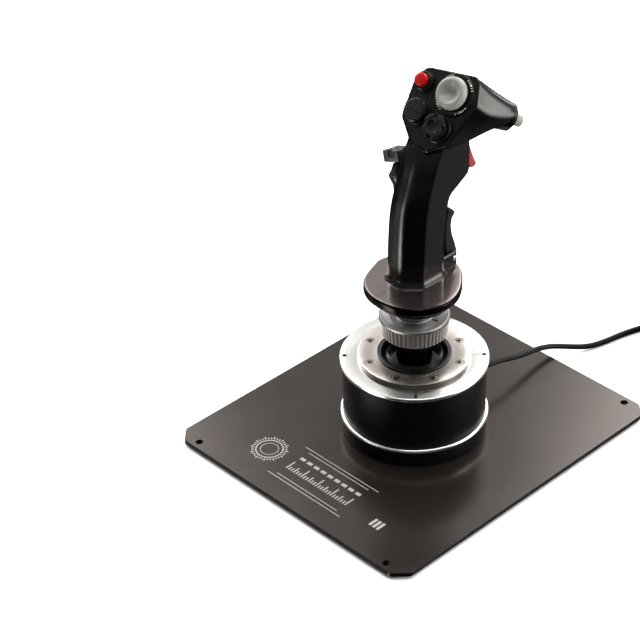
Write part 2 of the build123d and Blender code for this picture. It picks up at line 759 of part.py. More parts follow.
def side_hat_switch():
    body = rod(6.9, -11.5, -0.3) - block(-4, 4, -4, 4, -10.5, -2.0)
    body -= rod(3.3, -5, 0.5)
    body -= rod_along((-5.2, 0, -HAT_PIVOT_DEPTH), (5.2, 0, -HAT_PIVOT_DEPTH), 0.6 + RUN)
    return body


def weapon_button():
    """Red domed button on its stem."""
    dome = turned((0, 2.0), (4.4, 2.0), (4.6, 2.3), (4.6, 7.4), (3.8, 8.2), (1.9, 8.6), (0, 8.7))
    return dome + rod(1.6, -5.0, 2.2)


def weapon_button_collar():
    return turned((4.6 + AIR, 0), (6.9, 0), (6.9, 1.2), (6.5, 1.7), (6.5, 2.9), (6.1, 3.3),
                  (6.1, 4.2), (5.5, 4.6), (4.6 + AIR, 4.6))


def weapon_switch():
    body = rod(3.5, -10.5, -3.1) - rod(2.4, -7.5, -3)
    return body


def nose_place(height=0.0):
    return Plane(origin=NOSE_TIP + NOSE_AXIS * height, z_dir=NOSE_AXIS).location


def nose_button():
    body = turned((0, 1.0), (4.1, 1.0), (4.1, 7.0), (3.4, 8.0), (0, 8.2))
    body += turned((0, -1.5), (2.0, -1.5), (2.0, 1.2), (0, 1.2))
    return nose_place() * body


def nose_button_bezel():
    body = turned((4.1 + AIR, -3.4), (6.1, -3.4), (6.1, 0.1), (7.4, 0.1), (7.4, 1.0), (6.4, 1.8),
                  (4.1 + AIR, 1.8))
    return nose_place() * body


def nose_switch():
    return nose_place() * (rod(5.8, -8.8, -3.6) - rod(2.4, -5.2, -3))


def head_face_plate():
    """Flat plate that carries the thumb controls, with a hole for each stem."""
    plate = extrude(rounded_face(inset(FACE_OUTLINE, 1.4), [3.0, 4.4, 4.4, 4.4, 3.4, 3.4, 4.4, 3.0],
                                 face_plane(2.9)), 2.9)
    plate = chamfer(plate.faces().sort_by(Axis((0, 0, 0), face_plane().z_dir))[-1].edges(), 0.4)
    for place in (TRIM_AT, DATA_AT, TARGET_AT):
        plate -= on_face(place) * rod(3.3, -5, 2)
    return plate - on_face(WEAPON_AT) * rod(2.2, -5, 2)


# ---------------------------------------------------------------- trigger, paddle, finger button
def trigger():
    """Hooked blade on an arm that turns on the trigger pin."""
    y, z = TRIGGER_PIN
    points = [(y + 4, z - 3), (42.0, 219.0), (46.5, 218.0), (48.8, 212.5), (51.6, 206.5), (54.6, 201.6),
              (53.2, 200.4), (49.0, 203.6), (45.4, 208.6), (43.6, 212.0), (38.5, 213.5), (y, z - 4.5),
              (y - 3, z - 2), (y - 3, z + 2), (y, z + 4), (y + 4, z + 1)]
    face = make_face(Polyline(*[(-2.0, a, b) for a, b in points], close=True))
    body = extrude(face, 9.0, dir=(1, 0, 0))
    return body - rod_along((-5, y, z), (12, y, z), LEVER_PIN_R + RUN)


def paddle():
    """Long finger lever in front of the grip's foot."""
    y, z = PADDLE_PIN
    points = [(y - 3.6, z - 3.6), (33.4, z - 3.8), (34.0, z + 1), (33.5, 142), (31.7, 148), (28.9, 156),
              (27.8, 163), (28.7, 168.6), (31.6, 171.8), (30.8, 173.6), (27.2, 177.4), (25.2, 177.4),
              (23.4, 170), (22.4, 162), (22.2, 152), (y - 4.4, z + 3)]
    face = make_face(Polyline(*[(-8.1, a, b) for a, b in points], close=True))
    body = extrude(face, 16.2, dir=(1, 0, 0))
    return body - rod_along((-20, y, z), (20, y, z), LEVER_PIN_R + RUN)


def lever_pins():
    y, z = TRIGGER_PIN
    first = rod_along((-6.8, y, z), (11.8, y, z), LEVER_PIN_R)
    y, z = PADDLE_PIN
    return [first, rod_along((-11.2, y, z), (11.2, y, z), LEVER_PIN_R)]


def finger_button():
    head_part = rod_along((-5.5, 15.5, 186), (-5.5, 26.0, 186), 3.5)
    return head_part + rod_along((-5.5, 14.5, 186), (-5.5, 16.0, 186), 4.6)


# ---------------------------------------------------------------- cord
def strain_relief():
    """Tapered grommet in the housing wall: inner flange, neck, outer taper."""
    profile = turned((0, 43.6), (5.2, 43.6), (5.2, 46.4), (3.6, 46.9), (3.6, 51.6), (5.0, 51.6),
                     (5.0, 53.4), (CORD_R + 0.6, RELIEF_TIP), (0, RELIEF_TIP))
    place = Plane(origin=(0, 0, CORD_EXIT_Z), z_dir=Vector(*polar(1, 90 - CORD_EXIT_ANGLE)))
    return place.location * profile


def cord_points():
    return [Vector(*cord_exit_point(RELIEF_TIP))] + [Vector(*p) for p in CORD_ROUTE]


def cord_radii(points):
    """Arc radius at each inner point: as large as its two runs allow."""
    radii = []
    for before, here, after in zip(points, points[1:], points[2:]):
        turn = radians((here - before).get_angle(after - here))
        run = min((here - before).length, (after - here).length)
        radii.append(0.45 * run / tan(turn / 2))
    return radii


def cord_tube(points):
    """Round tube along straight runs joined by tangent arcs."""
    radii = cord_radii(points)
    path = FilletPolyline(*points, radius=radii)
    section = Plane(origin=points[0], z_dir=points[1] - points[0]).location * Circle(CORD_R)
    tube = sweep(section, path)
    print("cord radii", [round(r, 1) for r in radii])
    print("cord length", round(path.length, 1), "tube volume", round(tube.volume),
          "section x length", round(pi * CORD_R ** 2 * path.length))
    return tube


def usb_cord():
    return [cord_tube(cord_points()), cord_tube([Vector(*p) for p in CORD_TAIL])]


def cord_coil():
    """Put-away length, wound in a flat round coil on the desk."""
    half = COIL_ROWS * CORD_R
    body = ring(COIL_MID_R + half, COIL_MID_R - half, 0.0, COIL_LAYERS * 2 * CORD_R)
    return body.moved(Location((*COIL_CENTRE, 0)))


def coil_place(angle):
    """Location on the coil's middle circle; local X points outwards, local Y along the turns."""
    x, y, _ = polar(COIL_MID_R, angle)
    return Pos(COIL_CENTRE[0] + x, COIL_CENTRE[1] + y, 0) * Rot(0, 0, angle)


def cord_tie():
    """Hook-and-loop strap around the coil."""
    half = COIL_ROWS * CORD_R
    height = COIL_LAYERS * 2 * CORD_R
    outer = block(-half - 1.8, half + 1.6, -4, 4, 0, height + 1.2)
    return coil_place(-60) * (outer - block(-half - 0.7, half + 0.5, -6, 6, -1, height + 0.1))


def usb_plug():
    """Plug that lies on the desk beside the coil: moulded neck and body, and the metal shell."""
    body = fillet(block(-8, 8, 0, 18, 0, 8).edges().filter_by(Axis.Y), 2)
    body += block(-3.2, 3.2, -8.6, 0.5, 1.1, 7.1)
    shell = block(-6, 6, 18.02, 31, 1.75, 6.25) - block(-5.6, 5.6, 20, 32, 3.8, 5.9)
    end = CORD_TAIL[-1]
    place = Pos(end[0], end[1] - 9, 0) * Rot(0, 0, 180)
    return [place * body, place * shell]


# ---------------------------------------------------------------- write every node
def nodes():
    left, right = grip_halves()
    side = side_hat_plane().location
    parts = {
        "base_plate": base_plate(),
        "rubber_feet": rubber_feet(),
        "base_foot_ring": foot_ring(),
        "base_screws": base_screws(),
        "bottom_cover": bottom_cover(),
        "lower_ring": lower_ring(),
        "housing_shell": housing_shell(),
        "top_ring": top_ring(),
        "set_screws": set_screws(),
        "mounting_ring": mounting_ring(),
        "mounting_ring_screws": mounting_ring_screws(),
        "dust_bezel": dust_bezel(),
        "dust_dome": dust_dome(),
        "gimbal_cradle": gimbal_cradle(),
        "gimbal_ring": gimbal_ring(),
        "gimbal_pins": gimbal_pins(),
        "stick_hub": stick_hub(),
        "rocker_disc": rocker_disc(),
        "rocker_magnet": rocker_magnet(),
        "pressure_plate": pressure_plate(),
        "guide_posts": guide_posts(),
        "corner_springs": corner_springs(),
        "centre_spring": centre_spring(),
        "sensor_board": sensor_board(),
        "usb_board": usb_board(),
        "collar_nut": collar_nut(),
        "grip_neck": grip_neck(),
        "grip_shell_left": left,
        "grip_shell_right": right,
        "shell_screws": shell_screws(),
        "grip_board": grip_board(),
        "head_face_plate": head_face_plate(),
        "trim_hat_cap": on_face(TRIM_AT) * trim_hat_cap(),
        "trim_hat_pivot": on_face(TRIM_AT) * hat_pivot(),
        "trim_hat_ring": on_face(TRIM_AT) * trim_hat_ring(),
        "target_hat_cap": on_face(TARGET_AT) * target_hat_cap(),
        "target_hat_pivot": on_face(TARGET_AT) * hat_pivot(),
        "target_hat_base": on_face(TARGET_AT) * target_hat_base(),
        "data_hat_cap": on_face(DATA_AT) * data_hat_cap(),
        "data_hat_pivot": on_face(DATA_AT) * hat_pivot(),
        "data_hat_base": on_face(DATA_AT) * data_hat_base(),
        "hat_switches": [on_face(place) * hat_switch() for place in (TRIM_AT, TARGET_AT, DATA_AT)],
        "side_hat_cap": side * side_hat_cap(),
        "side_hat_pivot": side * hat_pivot(),
        "side_hat_boot": side * side_hat_boot(),
        "side_hat_switch": side * side_hat_switch(),
        "weapon_button": on_face(WEAPON_AT) * weapon_button(),
        "weapon_button_collar": on_face(WEAPON_AT) * weapon_button_collar(),
        "nose_button": nose_button(),
        "nose_button_bezel": nose_button_bezel(),
        "button_switches": [on_face(WEAPON_AT) * weapon_switch(), nose_switch()],
        "trigger": trigger(),
        "paddle": paddle(),
        "lever_pins": lever_pins(),
        "finger_button": finger_button(),
        "cord_strain_relief": strain_relief(),
        "usb_cord": usb_cord(),
        "cord_coil": cord_coil(),
        "cord_tie": cord_tie(),
        "usb_plug": usb_plug(),
    }
    return parts


def solids_of(shape):
    shapes = shape if isinstance(shape, list) else [shape]
    return [solid for item in shapes for solid in item.solids()]


def write(name, shape):
    solids = solids_of(shape)
    export_step(solids[0] if len(solids) == 1 else Compound(children=solids), f"parts/{name}.step")


os.makedirs("parts", exist_ok=True)
for node_name, node_shape in nodes().items():
    write(node_name, node_shape)
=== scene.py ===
from math import cos, pi, radians, sin, tan, tau

import bmesh
import bpy
from mathutils import Matrix, Vector


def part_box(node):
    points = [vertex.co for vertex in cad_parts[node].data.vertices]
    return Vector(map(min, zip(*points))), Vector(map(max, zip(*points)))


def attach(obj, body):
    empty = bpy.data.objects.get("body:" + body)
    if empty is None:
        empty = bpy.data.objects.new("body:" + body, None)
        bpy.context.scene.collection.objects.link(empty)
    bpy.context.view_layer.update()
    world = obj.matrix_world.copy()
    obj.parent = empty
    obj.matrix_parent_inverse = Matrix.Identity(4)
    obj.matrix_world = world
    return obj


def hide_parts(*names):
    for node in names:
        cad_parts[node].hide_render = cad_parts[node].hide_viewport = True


# Flight joystick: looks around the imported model. Metres, in the row frame: +Z up, +Y away from
# the pilot, +X to the pilot's right, origin in the middle of the base plate on the desk.

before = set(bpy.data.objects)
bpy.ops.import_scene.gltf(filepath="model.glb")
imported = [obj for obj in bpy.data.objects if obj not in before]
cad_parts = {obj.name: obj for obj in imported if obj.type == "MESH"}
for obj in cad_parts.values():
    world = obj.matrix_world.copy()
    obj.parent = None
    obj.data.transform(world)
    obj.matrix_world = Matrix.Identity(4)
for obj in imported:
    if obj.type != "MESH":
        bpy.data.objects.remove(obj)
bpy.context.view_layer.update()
MM = 0.001


def mm(x, y, z):
    return Vector((x, y, z)) * MM


def about_z(angle):
    return Matrix.Rotation(angle, 4, "Z")


def link(obj):
    bpy.context.scene.collection.objects.link(obj)


# ---- camera
CAMERA_AZIMUTH = radians(44.11)
CAMERA_ELEVATION = radians(37.45)
CAMERA_DISTANCE = 1.5334
CAMERA_LENS = 119.22
CAMERA_SHIFT = (-0.1476, 0.1593)


def make_camera():
    back = Vector((
        sin(CAMERA_AZIMUTH) * cos(CAMERA_ELEVATION),
        -cos(CAMERA_AZIMUTH) * cos(CAMERA_ELEVATION),
        sin(CAMERA_ELEVATION),
    ))
    data = bpy.data.cameras.new("camera")
    data.lens = CAMERA_LENS
    data.sensor_width = 36
    data.shift_x, data.shift_y = CAMERA_SHIFT
    data.clip_start, data.clip_end = 0.05, 50
    camera = bpy.data.objects.new("camera", data)
    camera.location = back * CAMERA_DISTANCE + Vector((0, 0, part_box("base_plate")[1].z))
    camera.rotation_mode = "QUATERNION"
    camera.rotation_quaternion = (-back).to_track_quat("-Z", "Y")
    link(camera)
    bpy.context.scene.camera = camera


make_camera()


# ---- material helpers
def add_node(tree, kind, inputs=None, **settings):
    """A shader node with its settings, and its inputs set or linked by name or number."""
    node = tree.nodes.new("ShaderNode" + kind)
    for key, value in settings.items():
        setattr(node, key, value)
    for key, value in (inputs or {}).items():
        if isinstance(value, bpy.types.NodeSocket):
            tree.links.new(value, node.inputs[key])
        else:
            node.inputs[key].default_value = value
    return node


def noise(tree, where, scale, detail, roughness=0.55):
    """Noise over object coordinates, in turns per metre."""
    return add_node(tree, "TexNoise", {
        "Vector": where, "Scale": scale, "Detail": detail, "Roughness": roughness}).outputs["Fac"]


def to_range(tree, value, low, high, from_low=0.3, from_high=0.7):
    return add_node(tree, "MapRange", {
        "Value": value, "From Min": from_low, "From Max": from_high, "To Min": low, "To Max": high,
    }).outputs["Result"]


def mix_colour(tree, factor, first, second):
    return add_node(tree, "Mix", {0: factor, 6: first, 7: second}, data_type="RGBA").outputs[2]


def calc(tree, operation, *values):
    return add_node(tree, "Math", dict(enumerate(values)), operation=operation).outputs[0]


def shade(colour, factor):
    return tuple(min(1.0, c * factor) for c in colour[:3]) + (1.0,)


MATERIALS = {}


def surface(name, colour, roughness, metallic=0.0, spread=0.12, blotch=30, grain=900, bump=0.02,
            wear=0.0, rough_spread=0.08, lathe=0.0, specular=0.5, painted_shade_under_z=0.0, painted_shade_factor=0.02):
    """Procedural finish: blotches of tone, a fine grain, worn edges, uneven gloss, turning marks.

    bump is the grain's depth and lathe that of turning rings about Z, in millimetres. wear lightens
    the edges. painted_shade_under_z is how far up a face looks to keep its tone; others get painted shade,
    their tone darkened by painted_shade_factor."""
    material = bpy.data.materials.new(name)
    material.use_nodes = True
    tree = material.node_tree
    tree.nodes.clear()
    where = add_node(tree, "TexCoord").outputs["Object"]
    broad = noise(tree, where, blotch, 4.0)
    fine = noise(tree, where, grain, 2.0)
    tone = mix_colour(tree, to_range(tree, broad, 0, 1),
                      shade(colour, 1 - spread), shade(colour, 1 + spread))
    tone = mix_colour(tree, to_range(tree, fine, 0, 0.5 * spread + 0.05), tone, shade(colour, 0.55))
    if wear:
        point = add_node(tree, "NewGeometry").outputs["Pointiness"]
        edge = to_range(tree, point, 0, wear, 0.52, 0.60)
        edge = calc(tree, "MULTIPLY", edge, to_range(tree, noise(tree, where, 160, 5.0), 0.2, 1.0))
        tone = mix_colour(tree, edge, tone, shade(colour, 2.2 if max(colour[:3]) < 0.4 else 1.2))
    # Painted shade: faces turned away from straight up take a darker copy of the tone
    if painted_shade_under_z:
        facing = add_node(tree, "NewGeometry").outputs["Normal"]
        unshaded_share = add_node(tree, "SeparateXYZ", {"Vector": facing}).outputs["Z"]
        unshaded_share = to_range(tree, unshaded_share, 0, 1, painted_shade_under_z - 0.03, painted_shade_under_z)
        tone = mix_colour(tree, unshaded_share, shade(colour, painted_shade_factor), tone)
    gloss = to_range(tree, noise(tree, where, blotch * 2.3, 5.0),
                     max(0.03, roughness - rough_spread), roughness + rough_spread)
    height = calc(tree, "MULTIPLY", fine, bump)
    if lathe:
        axis = add_node(tree, "SeparateXYZ", {"Vector": where})
        square_x = calc(tree, "MULTIPLY", axis.outputs["X"], axis.outputs["X"])
        square_y = calc(tree, "MULTIPLY", axis.outputs["Y"], axis.outputs["Y"])
        radius = calc(tree, "SQRT", calc(tree, "ADD", square_x, square_y))
        turned = add_node(tree, "CombineXYZ", {"X": radius, "Z": axis.outputs["Z"]}).outputs[0]
        rings = noise(tree, turned, 2600, 3.0, 0.6)
        height = calc(tree, "ADD", height, calc(tree, "MULTIPLY", rings, lathe))
        gloss = calc(tree, "ADD", gloss, to_range(tree, rings, -0.03, 0.03))
    normal = add_node(tree, "Bump", {"Height": height, "Distance": MM, "Strength": 1.0})
    shader = add_node(tree, "BsdfPrincipled", {
        "Base Color": tone, "Roughness": gloss, "Normal": normal.outputs[0], "Metallic": metallic,
        "Specular IOR Level": specular})
    if lathe and metallic:
        tangent = add_node(tree, "Tangent", direction_type="RADIAL", axis="Z").outputs[0]
        tree.links.new(tangent, shader.inputs["Tangent"])
        shader.inputs["Anisotropic"].default_value = 0.6
    add_node(tree, "OutputMaterial", {"Surface": shader.outputs[0]})
    MATERIALS[name] = material


def rgb(red, green, blue):
    """Linear colour from an sRGB triple of 0 to 255."""
    return tuple((c / 255) ** 2.2 for c in (red, green, blue)) + (1.0,)


# Painted shade: the plate's side walls, chamfer and underside are darkened
surface("plate_metal", rgb(66, 61, 58), 0.21, metallic=0.8, spread=0.03, blotch=12, grain=2600,
        bump=0.0003, rough_spread=0.02, painted_shade_under_z=0.9, painted_shade_factor=0.12)
surface("housing_metal", rgb(6, 6, 6), 0.5, spread=0.12, bump=0.003, wear=0.15, specular=0.12,
        rough_spread=0.03)
surface("bright_metal", rgb(236, 235, 231), 0.19, metallic=1.0, spread=0.02, bump=0.0003,
        rough_spread=0.02, lathe=0.0006)
# Painted shade: the mounting ring's walls and screw sinks are darkened
surface("champagne_metal", rgb(186, 178, 171), 0.26, metallic=1.0, spread=0.02, bump=0.0003,
        rough_spread=0.02, lathe=0.0004, painted_shade_under_z=0.9, painted_shade_factor=0.18)
surface("screw_steel", rgb(138, 132, 126), 0.28, metallic=1.0, spread=0.05, bump=0.002)
surface("collar_metal", rgb(138, 136, 135), 0.42, metallic=1.0, spread=0.04, bump=0.001,
        rough_spread=0.03, lathe=0.002)
surface("cast_metal", rgb(132, 130, 128), 0.5, metallic=0.9, spread=0.1, grain=1400, bump=0.03)
surface("grip_metal", rgb(4, 4, 4), 0.27, spread=0.1, grain=2400, bump=0.0015, wear=0.1, specular=0.3,
        rough_spread=0.02)
# Painted shade: the hand rest's rounded rim and walls are blackened
surface("rest_metal", rgb(138, 127, 124), 0.17, metallic=0.97, spread=0.03, grain=2400, bump=0.0006,
        rough_spread=0.02, painted_shade_under_z=0.99)
surface("black_plastic", rgb(11, 11, 11), 0.38, spread=0.2, grain=2200, bump=0.008, wear=0.2, specular=0.25)
surface("gloss_black", rgb(7, 7, 7), 0.25, spread=0.2, grain=1500, bump=0.001, specular=0.22)
surface("pale_plastic", rgb(124, 123, 118), 0.46, spread=0.03, grain=1800, bump=0.002, rough_spread=0.03)
surface("red_plastic", rgb(160, 0, 10), 0.35, spread=0.04, grain=1500, bump=0.002, specular=0.25)
surface("trigger_red", rgb(140, 48, 48), 0.38, spread=0.06, grain=1500, bump=0.004, specular=0.3)
surface("grey_plastic", rgb(38, 37, 36), 0.45, spread=0.08, grain=1900, bump=0.008, wear=0.2)
surface("paddle_metal", rgb(34, 34, 35), 0.32, metallic=0.3, spread=0.1, grain=1800, bump=0.003, wear=0.3,
        specular=0.3)
surface("rubber_black", rgb(5, 5, 5), 0.5, spread=0.15, grain=2000, bump=0.006, specular=0.12)
surface("circuit_board", rgb(20, 84, 46), 0.4, spread=0.15, blotch=220, bump=0.006)
surface("magnet_nickel", rgb(198, 196, 190), 0.2, metallic=1.0, spread=0.05, bump=0.001)
surface("plug_black", rgb(16, 16, 17), 0.45, spread=0.12, grain=2000, bump=0.010)
surface("bezel_black", rgb(18, 13, 10), 0.32, spread=0.15, grain=1500, bump=0.002, specular=0.25)
surface("print_grey", rgb(146, 140, 136), 0.5, spread=0.05, bump=0.002)
surface("white_ink", rgb(225, 224, 218), 0.5, spread=0.03, bump=0.002)


# ---- mesh helpers
def new_object(name, mesh, material, body=None, replaces=(), smooth=35.0):
    obj = bpy.data.objects.new(name, mesh)
    link(obj)
    mesh.materials.clear()
    mesh.materials.append(MATERIALS[material])
    if smooth is not None:
        mesh.polygons.foreach_set("use_smooth", [True] * len(mesh.polygons))
        mesh.set_sharp_from_angle(angle=radians(smooth))
    if body:
        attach(obj, body)
    if replaces:
        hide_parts(*replaces)
    return obj


# ---- cord
CORD_DIAMETER = 4.2
CORD_EXIT = mm(9.19, 65.36, 26)
CORD_ROUTE = [
    (11.1, 79.0, 25.0), (12.8, 92.5, 21.0), (12.6, 107.0, 17.4), (12.2, 121.5, 14.4),
    (14.6, 135.5, 10.6), (20.2, 148.5, 6.0), (27.0, 161.5, 2.6), (31.4, 176.0, 2.1),
    (34.0, 191.0, 2.1), (38.2, 206.5, 2.1), (45.5, 223.0, 2.1),
]
COIL_CENTRE = (75.2, 219.9)
COIL_ROWS = (28.2, 24.0, 19.8)          # radius of each row of turns
COIL_START = 155.0                      # degrees from +X, wound clockwise
POINTS_PER_TURN = 16
JOG = 0.8                               # share of a turn before it steps to the next row
CORD_TAIL = [(103.7, 203.0, 13.9), (103.9, 195.0, 9.9), (104.2, 187.0, 5.4), (104.5, 178.0, 4.1)]


def coil_points():
    """Turns of the coil: three full layers, then a loose spiral on top that ends heading -Y."""
    rows = [*COIL_ROWS, *reversed(COIL_ROWS), *COIL_ROWS]
    layers = [0, 0, 0, 1, 1, 1, 2, 2, 2]
    turns = [*zip(rows, layers), (COIL_ROWS[-1], 3)]
    points = []
    for turn in range(len(rows)):
        (radius, layer), (next_radius, next_layer) = turns[turn], turns[turn + 1]
        for i in range(POINTS_PER_TURN):
            share = i / POINTS_PER_TURN
            step = max(0.0, (share - JOG) / (1 - JOG))
            points.append((
                COIL_START - 360 * (turn + share),
                radius + (next_radius - radius) * step,
                layer + (next_layer - layer) * step,
            ))
    last = 360 + COIL_START
    count = round(POINTS_PER_TURN * last / 360)
    for i in range(count + 1):
        share = i / count
        points.append((COIL_START - last * share, COIL_ROWS[-1] + (COIL_ROWS[0] - COIL_ROWS[-1]) * share, 3))
    # The spline cuts inside its control points, to this mean share of their radius
    cut = (cos(pi / POINTS_PER_TURN) + (7 + cos(tau / POINTS_PER_TURN)) / 8) / 2
    return [
        (COIL_CENTRE[0] + r / cut * cos(radians(a)), COIL_CENTRE[1] + r / cut * sin(radians(a)),
         (layer + 0.5) * CORD_DIAMETER)
        for a, r, layer in points
    ]


def make_cord():
    """The whole lead as one open spline: the seen run, the coil, and the run to the plug."""
    points = [CORD_EXIT] + [mm(*p) for p in CORD_ROUTE + coil_points() + CORD_TAIL]
    curve = bpy.data.curves.new("usb_lead", "CURVE")
    curve.dimensions = "3D"
    curve.bevel_depth = CORD_DIAMETER / 2 * MM
    curve.bevel_resolution = 5
    curve.resolution_u = 6
    curve.use_fill_caps = True
    spline = curve.splines.new("NURBS")
    spline.points.add(len(points) - 1)
    for point, place in zip(spline.points, points):
        point.co = (*place, 1.0)
    spline.order_u = 3
    spline.use_endpoint_u = True
    curve.materials.append(MATERIALS["rubber_black"])
    lead = bpy.data.objects.new("usb_lead", curve)
    link(lead)
    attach(lead, "base")
    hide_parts("usb_cord", "cord_coil")
    return lead


lead = make_cord()


# ---- CAD nodes that stay
NODE_MATERIALS = {
    "plate_metal": ["base_plate"],
    "screw_steel": ["base_screws", "shell_screws", "lever_pins", "gimbal_pins", "guide_posts",
                    "corner_springs", "centre_spring"],
    "collar_metal": ["grip_neck"],
    "cast_metal": ["gimbal_ring", "gimbal_cradle", "pressure_plate", "rocker_disc", "bottom_cover"],
    "black_plastic": ["head_face_plate", "hat_switches", "side_hat_switch", "button_switches",
                      "finger_button", "trim_hat_pivot", "target_hat_pivot", "data_hat_pivot",
                      "side_hat_pivot"],
    "gloss_black": ["dust_dome", "stick_hub", "set_screws"],
    "rubber_black": ["rubber_feet"],
    "circuit_board": ["sensor_board", "usb_board", "grip_board"],
    "magnet_nickel": ["rocker_magnet"],
}


def dress_cad_nodes():
    for material, names in NODE_MATERIALS.items():
        for name in names:
            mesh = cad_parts[name].data
            mesh.materials.clear()
            mesh.materials.append(MATERIALS[material])


dress_cad_nodes()


# ---- outlines and lofts
def arc_corner(before, here, after, radius, steps):
    """Points of the arc that rounds one corner of an outline."""
    before, here, after = Vector(before), Vector(here), Vector(after)
    first, second = (before - here).normalized(), (after - here).normalized()
    half = first.angle(second) / 2
    reach = min(radius / max(1e-6, tan(half)), 0.48 * (before - here).length, 0.48 * (after - here).length)
    radius = reach * tan(half)
    centre = here + (first + second).normalized() * (radius / sin(half))
    start = here + first * reach - centre
    sweep = pi - 2 * half
    side = 1 if first.x * second.y - first.y * second.x < 0 else -1
    points = []
    for i in range(steps + 1):
        turn = side * sweep * i / steps
        points.append((
            centre.x + start.x * cos(turn) - start.y * sin(turn),
            centre.y + start.x * sin(turn) + start.y * cos(turn),
        ))
    return points


def rounded(corners, radii, steps):
    """Closed outline with rounded corners, the same number of points at each corner."""
    outline = []
    for i, here in enumerate(corners):
        after = corners[(i + 1) % len(corners)]
        outline += arc_corner(corners[i - 1], here, after, radii[i], steps)
    return outline


def inset(corners, amount):
    """Each side of an anticlockwise outline moved inwards by the same amount."""
    moved = []
    for i, here in enumerate(corners):
        here, before, after = Vector(here), Vector(corners[i - 1]), Vector(corners[(i + 1) % len(corners)])
        first, second = (here - before).normalized(), (after - here).normalized()
        normal = Vector((-first.y - second.y, first.x + second.x)).normalized()
        reach = amount / max(0.2, normal.x * -first.y + normal.y * first.x)
        moved.append(tuple(here + normal * reach))
    return moved


def between(a, b, c, d, t):
    """Catmull-Rom value between b and c."""
    return b + 0.5 * t * (c - a + t * (2 * a - 5 * b + 4 * c - d + t * (3 * (b - c) + d - a)))


def smooth_rows(rows, step):
    """Rows of numbers, the first one a height, with more rows on a smooth line between them."""
    made = []
    for i in range(len(rows) - 1):
        a, b = rows[max(0, i - 1)], rows[i]
        c, d = rows[i + 1], rows[min(len(rows) - 1, i + 2)]
        count = max(1, round((c[0] - b[0]) / step))
        for k in range(count):
            made.append([between(*four, k / count) for four in zip(a, b, c, d)])
    made.append(list(rows[-1]))
    return made


def solid(verts, faces):
    """Mesh from points in millimetres and their faces, all facing out."""
    mesh = bpy.data.meshes.new("solid")
    mesh.from_pydata([tuple(Vector(v) * MM) for v in verts], [], faces)
    work = bmesh.new()
    work.from_mesh(mesh)
    bmesh.ops.recalc_face_normals(work, faces=work.faces)
    work.to_mesh(mesh)
    work.free()
    return mesh


def loft(sections):
    """Closed mesh through sections of equal point count, with flat ends."""
    count = len(sections[0])
    verts = [p for section in sections for p in section]
    faces = []
    for s in range(len(sections) - 1):
        for i in range(count):
            j = (i + 1) % count
            faces.append((s * count + i, s * count + j, (s + 1) * count + j, (s + 1) * count + i))
    faces.append(tuple(reversed(range(count))))
    faces.append(tuple(range((len(sections) - 1) * count, len(sections) * count)))
    return solid(verts, faces)


def lathe_mesh(profile, segments=96):
    """Solid of revolution about local Z from (radius, height) in millimetres."""
    verts, rings = [], []
    for r, z in profile:
        if r < 1e-6:
            rings.append([len(verts)])
            verts.append((0, 0, z))
        else:
            rings.append(list(range(len(verts), len(verts) + segments)))
            verts += [(r * cos(tau * i / segments), r * sin(tau * i / segments), z) for i in range(segments)]
    faces = []
    pairs = list(zip(rings, rings[1:]))
    if len(rings[0]) > 1 and len(rings[-1]) > 1:
        pairs.append((rings[-1], rings[0]))
    for low, high in pairs:
        for i in range(segments):
            j = (i + 1) % segments
            if len(low) == 1:
                faces.append((low[0], high[j], high[i]))
            elif len(high) == 1:
                faces.append((low[i], low[j], high[0]))
            else:
                faces.append((low[i], low[j], high[j], high[i]))
    return solid(verts, faces)


def soften(points, radius, steps=4):
    """Profile with its inner corners rounded; the two ends stay."""
    made = [points[0]]
    for before, here, after in zip(points, points[1:], points[2:]):
        first, second = Vector(before) - Vector(here), Vector(after) - Vector(here)
        if min(first.length, second.length) < 1e-6 or abs(first.angle(second) - pi) < 0.05:
            made.append(here)
        else:
            made += arc_corner(before, here, after, radius, steps)
    made.append(points[-1])
    return made


def finished(work):
    """Mesh from edit data, which is freed."""
    mesh = bpy.data.meshes.new("made")
    work.to_mesh(mesh)
    work.free()
    return mesh


def block_mesh(x0, x1, y0, y1, z0, z1, bevel=0.0, segments=2):
    """Box between two corners in millimetres, with rounded edges."""
    work = bmesh.new()
    bmesh.ops.create_cube(work, size=1.0)
    for v in work.verts:
        v.co = Vector(((v.co.x + 0.5) * (x1 - x0) + x0, (v.co.y + 0.5) * (y1 - y0) + y0,
                       (v.co.z + 0.5) * (z1 - z0) + z0)) * MM
    if bevel:
        bmesh.ops.bevel(work, geom=work.edges[:], offset=bevel * MM, segments=segments, profile=0.5,
                        affect="EDGES")
    return finished(work)


def rod_mesh(start, end, radius, segments=48):
    """Cylinder from one point to another, in millimetres."""
    start, end = Vector(start), Vector(end)
    length = (end - start).length
    mesh = lathe_mesh([(0, 0), (radius, 0), (radius, length), (0, length)], segments)
    turn = (end - start).to_track_quat("Z", "Y").to_matrix().to_4x4()
    mesh.transform(Matrix.Translation(start * MM) @ turn)
    return mesh


def join_meshes(meshes):
    work = bmesh.new()
    for mesh in meshes:
        work.from_mesh(mesh)
    return finished(work)


def settled(obj):
    """Mesh of an object with its modifiers applied; the object itself is removed."""
    bpy.context.view_layer.update()
    mesh = bpy.data.meshes.new_from_object(obj.evaluated_get(bpy.context.evaluated_depsgraph_get()))
    bpy.data.objects.remove(obj)
    return mesh


def temporary(mesh):
    obj = bpy.data.objects.new("temporary", mesh)
    link(obj)
    return obj


def voxel_union(meshes, size, smoothing):
    """One skin around several closed meshes, with its edges softened."""
    obj = temporary(join_meshes(meshes))
    remesh = obj.modifiers.new("remesh", "REMESH")
    remesh.mode = "VOXEL"
    remesh.voxel_size = size * MM
    smooth = obj.modifiers.new("smooth", "SMOOTH")
    smooth.factor = 0.5
    smooth.iterations = smoothing
    return settled(obj)


